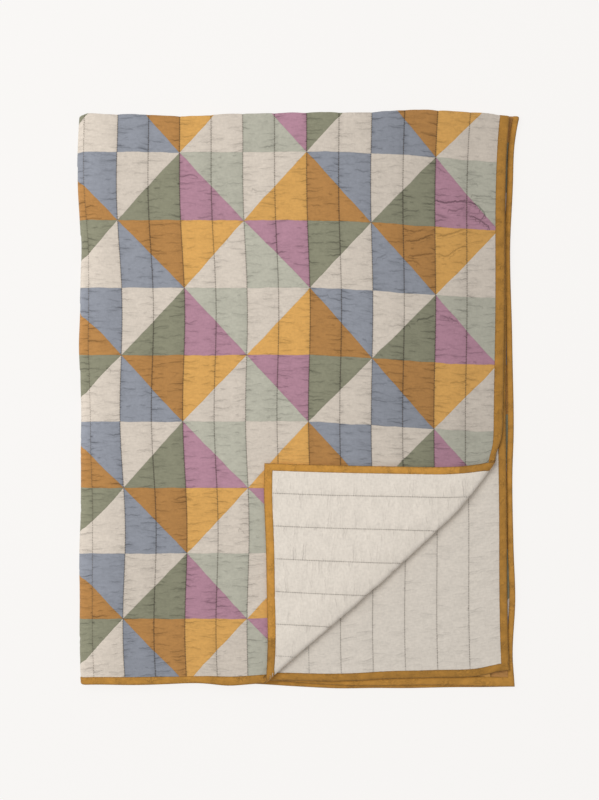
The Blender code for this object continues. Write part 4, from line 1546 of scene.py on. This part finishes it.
class QUILT_OT_backing(bpy.types.Operator):
    """Make the plain back of the quilt"""

    bl_idname = "quilt.backing"
    bl_label = "Plain backing"

    def execute(self, context):
        sizes = context.scene.quilt_sizes
        colours = context.scene.quilt_colours
        shared_groups(colours)
        columns = back_columns()
        rows = back_rows()
        heights = back_relief(sizes, columns, rows)
        material = backing_material("Backing", sizes, colours)
        backing = cloth_face("plain_backing", columns, rows, heights, -1, material)
        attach(backing, "root")
        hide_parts("quilt_backing")
        return {"FINISHED"}


class QUILT_OT_binding(bpy.types.Operator):
    """Make the strip that binds the quilt's four edges"""

    bl_idname = "quilt.binding"
    bl_label = "Edge binding"

    def execute(self, context):
        sizes = context.scene.quilt_sizes
        colours = context.scene.quilt_colours
        shared_groups(colours)
        material = binding_material("Binding", sizes, colours)
        binding = make_binding("bound_edge", sizes, material)
        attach(binding, "root")
        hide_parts("edge_binding")
        return {"FINISHED"}


class QUILT_OT_stitches(bpy.types.Operator):
    """Make the hand stitches along the quilting lines, on the front and on the backing"""

    bl_idname = "quilt.stitches"
    bl_label = "Quilting stitches"

    def execute(self, context):
        sizes = context.scene.quilt_sizes
        thread = thread_material("Thread", context.scene.quilt_colours)
        inside = BINDING_WIDTH + 0.001
        lines = stitch_lines()

        def front_heights(line, rows):
            return front_relief(sizes, np.array([line]), rows)[:, 0]

        def back_heights(line, rows):
            return back_relief(sizes, np.array([line]), rows)[:, 0]

        spans = [(line, inside, TOP_FOLD) for line in lines if line > LEFT_FOLD]
        points, faces = stitch_points(sizes, spans, front_heights, 1, SEED + 20)
        front = joined_mesh("front_stitches", points, faces, thread)
        shown = CLOTH_WIDTH - SHOWN_CORNER
        far = (CLOTH_LENGTH - SHOWN_CORNER, CLOTH_LENGTH - inside)
        spans = [(line, inside, SHOWN_CORNER) for line in turned_lines() if line > shown]
        spans += [(line, *far) for line in lines if line > shown]
        points, faces = stitch_points(sizes, spans, back_heights, -1, SEED + 21)
        back = joined_mesh("backing_stitches", points, faces, thread)
        for stitches, slot in ((front, "patchwork"), (back, "backing")):
            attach(stitches, "root")
        return {"FINISHED"}


class QUILT_OT_stage(bpy.types.Operator):
    """Make the pale floor, the soft studio light and the camera straight above the quilt"""

    bl_idname = "quilt.stage"
    bl_label = "Studio stage"

    def execute(self, context):
        stage = context.scene.quilt_stage
        half = stage.floor_size / 2
        mesh = bpy.data.meshes.new("studio_floor")
        corners = [(-half, -half, 0.0), (half, -half, 0.0), (half, half, 0.0), (-half, half, 0.0)]
        mesh.from_pydata(corners, [], [(0, 1, 2, 3)])
        paper = bpy.data.materials.new("Studio paper")
        paper.use_nodes = True
        tree = paper.node_tree
        shader = tree.nodes["Principled BSDF"]
        shader.inputs["Roughness"].default_value = 1.0
        shader.inputs["Specular IOR Level"].default_value = 0.0
        position = add_node(tree, "ShaderNodeNewGeometry").outputs["Position"]
        grain = in_range(tree, noise(tree, position, 3.0), 0.3, 0.7, 0.998, 1.0)
        pale = colour_of(250, 248, 246)
        lit = (*(part * (1 - FLOOR_GLOW) for part in pale), 1.0)
        tree.links.new(mixed(tree, "MULTIPLY", 1.0, lit, grain), shader.inputs["Base Color"])
        shader.inputs["Emission Color"].default_value = (*pale, 1.0)
        shader.inputs["Emission Strength"].default_value = FLOOR_GLOW
        mesh.materials.append(paper)
        floor = bpy.data.objects.new("studio_floor", mesh)
        floor.location.z = -FLOOR_DROP
        context.scene.collection.objects.link(floor)

        lamp = bpy.data.lights.new("key_light", "AREA")
        lamp.shape = "DISK"
        lamp.size = KEY_SIZE
        lamp.energy = stage.key_power
        key = bpy.data.objects.new("key_light", lamp)
        key.location = KEY_PLACE
        key.rotation_euler = (-Vector(KEY_PLACE)).to_track_quat("-Z", "Y").to_euler()
        context.scene.collection.objects.link(key)

        world = bpy.data.worlds.new("studio")
        world.use_nodes = True
        world.node_tree.nodes["Background"].inputs["Strength"].default_value = stage.fill
        world.node_tree.nodes["Background"].inputs["Color"].default_value = (1.0, 1.0, 1.0, 1.0)
        context.scene.world = world
        context.scene.view_settings.view_transform = "Standard"

        camera = bpy.data.cameras.new("camera")
        camera.lens = stage.lens
        camera.sensor_width = 36.0
        view = bpy.data.objects.new("camera", camera)
        view.location = (CAMERA_X, CAMERA_Y, stage.camera_height)
        context.scene.collection.objects.link(view)
        context.scene.camera = view
        return {"FINISHED"}


class QUILT_PT_panel(bpy.types.Panel):
    """The quilt's operators and its sizes and colours"""

    bl_idname = "QUILT_PT_panel"
    bl_label = "Folded quilt"
    bl_space_type = "VIEW_3D"
    bl_region_type = "UI"
    bl_category = "Quilt"

    def draw(self, context):
        for operator in OPERATORS:
            self.layout.operator(operator.bl_idname)
        for group in ("quilt_sizes", "quilt_colours", "quilt_stage"):
            settings = getattr(context.scene, group)
            for name in settings.__annotations__:
                self.layout.prop(settings, name)


OPERATORS = (QUILT_OT_front, QUILT_OT_backing, QUILT_OT_binding, QUILT_OT_stitches, QUILT_OT_stage)
CLASSES = (QuiltSizes, QuiltColours, QuiltStage, *OPERATORS, QUILT_PT_panel)


def register():
    for each in CLASSES:
        bpy.utils.register_class(each)
    bpy.types.Scene.quilt_sizes = bpy.props.PointerProperty(type=QuiltSizes)
    bpy.types.Scene.quilt_colours = bpy.props.PointerProperty(type=QuiltColours)
    bpy.types.Scene.quilt_stage = bpy.props.PointerProperty(type=QuiltStage)


def unregister():
    del bpy.types.Scene.quilt_stage
    del bpy.types.Scene.quilt_colours
    del bpy.types.Scene.quilt_sizes
    for each in reversed(CLASSES):
        bpy.utils.unregister_class(each)


def main():
    register()
    bpy.ops.quilt.front()
    bpy.ops.quilt.backing()
    bpy.ops.quilt.binding()
    bpy.ops.quilt.stitches()
    bpy.ops.quilt.stage()


if __name__ == "__main__":
    main()
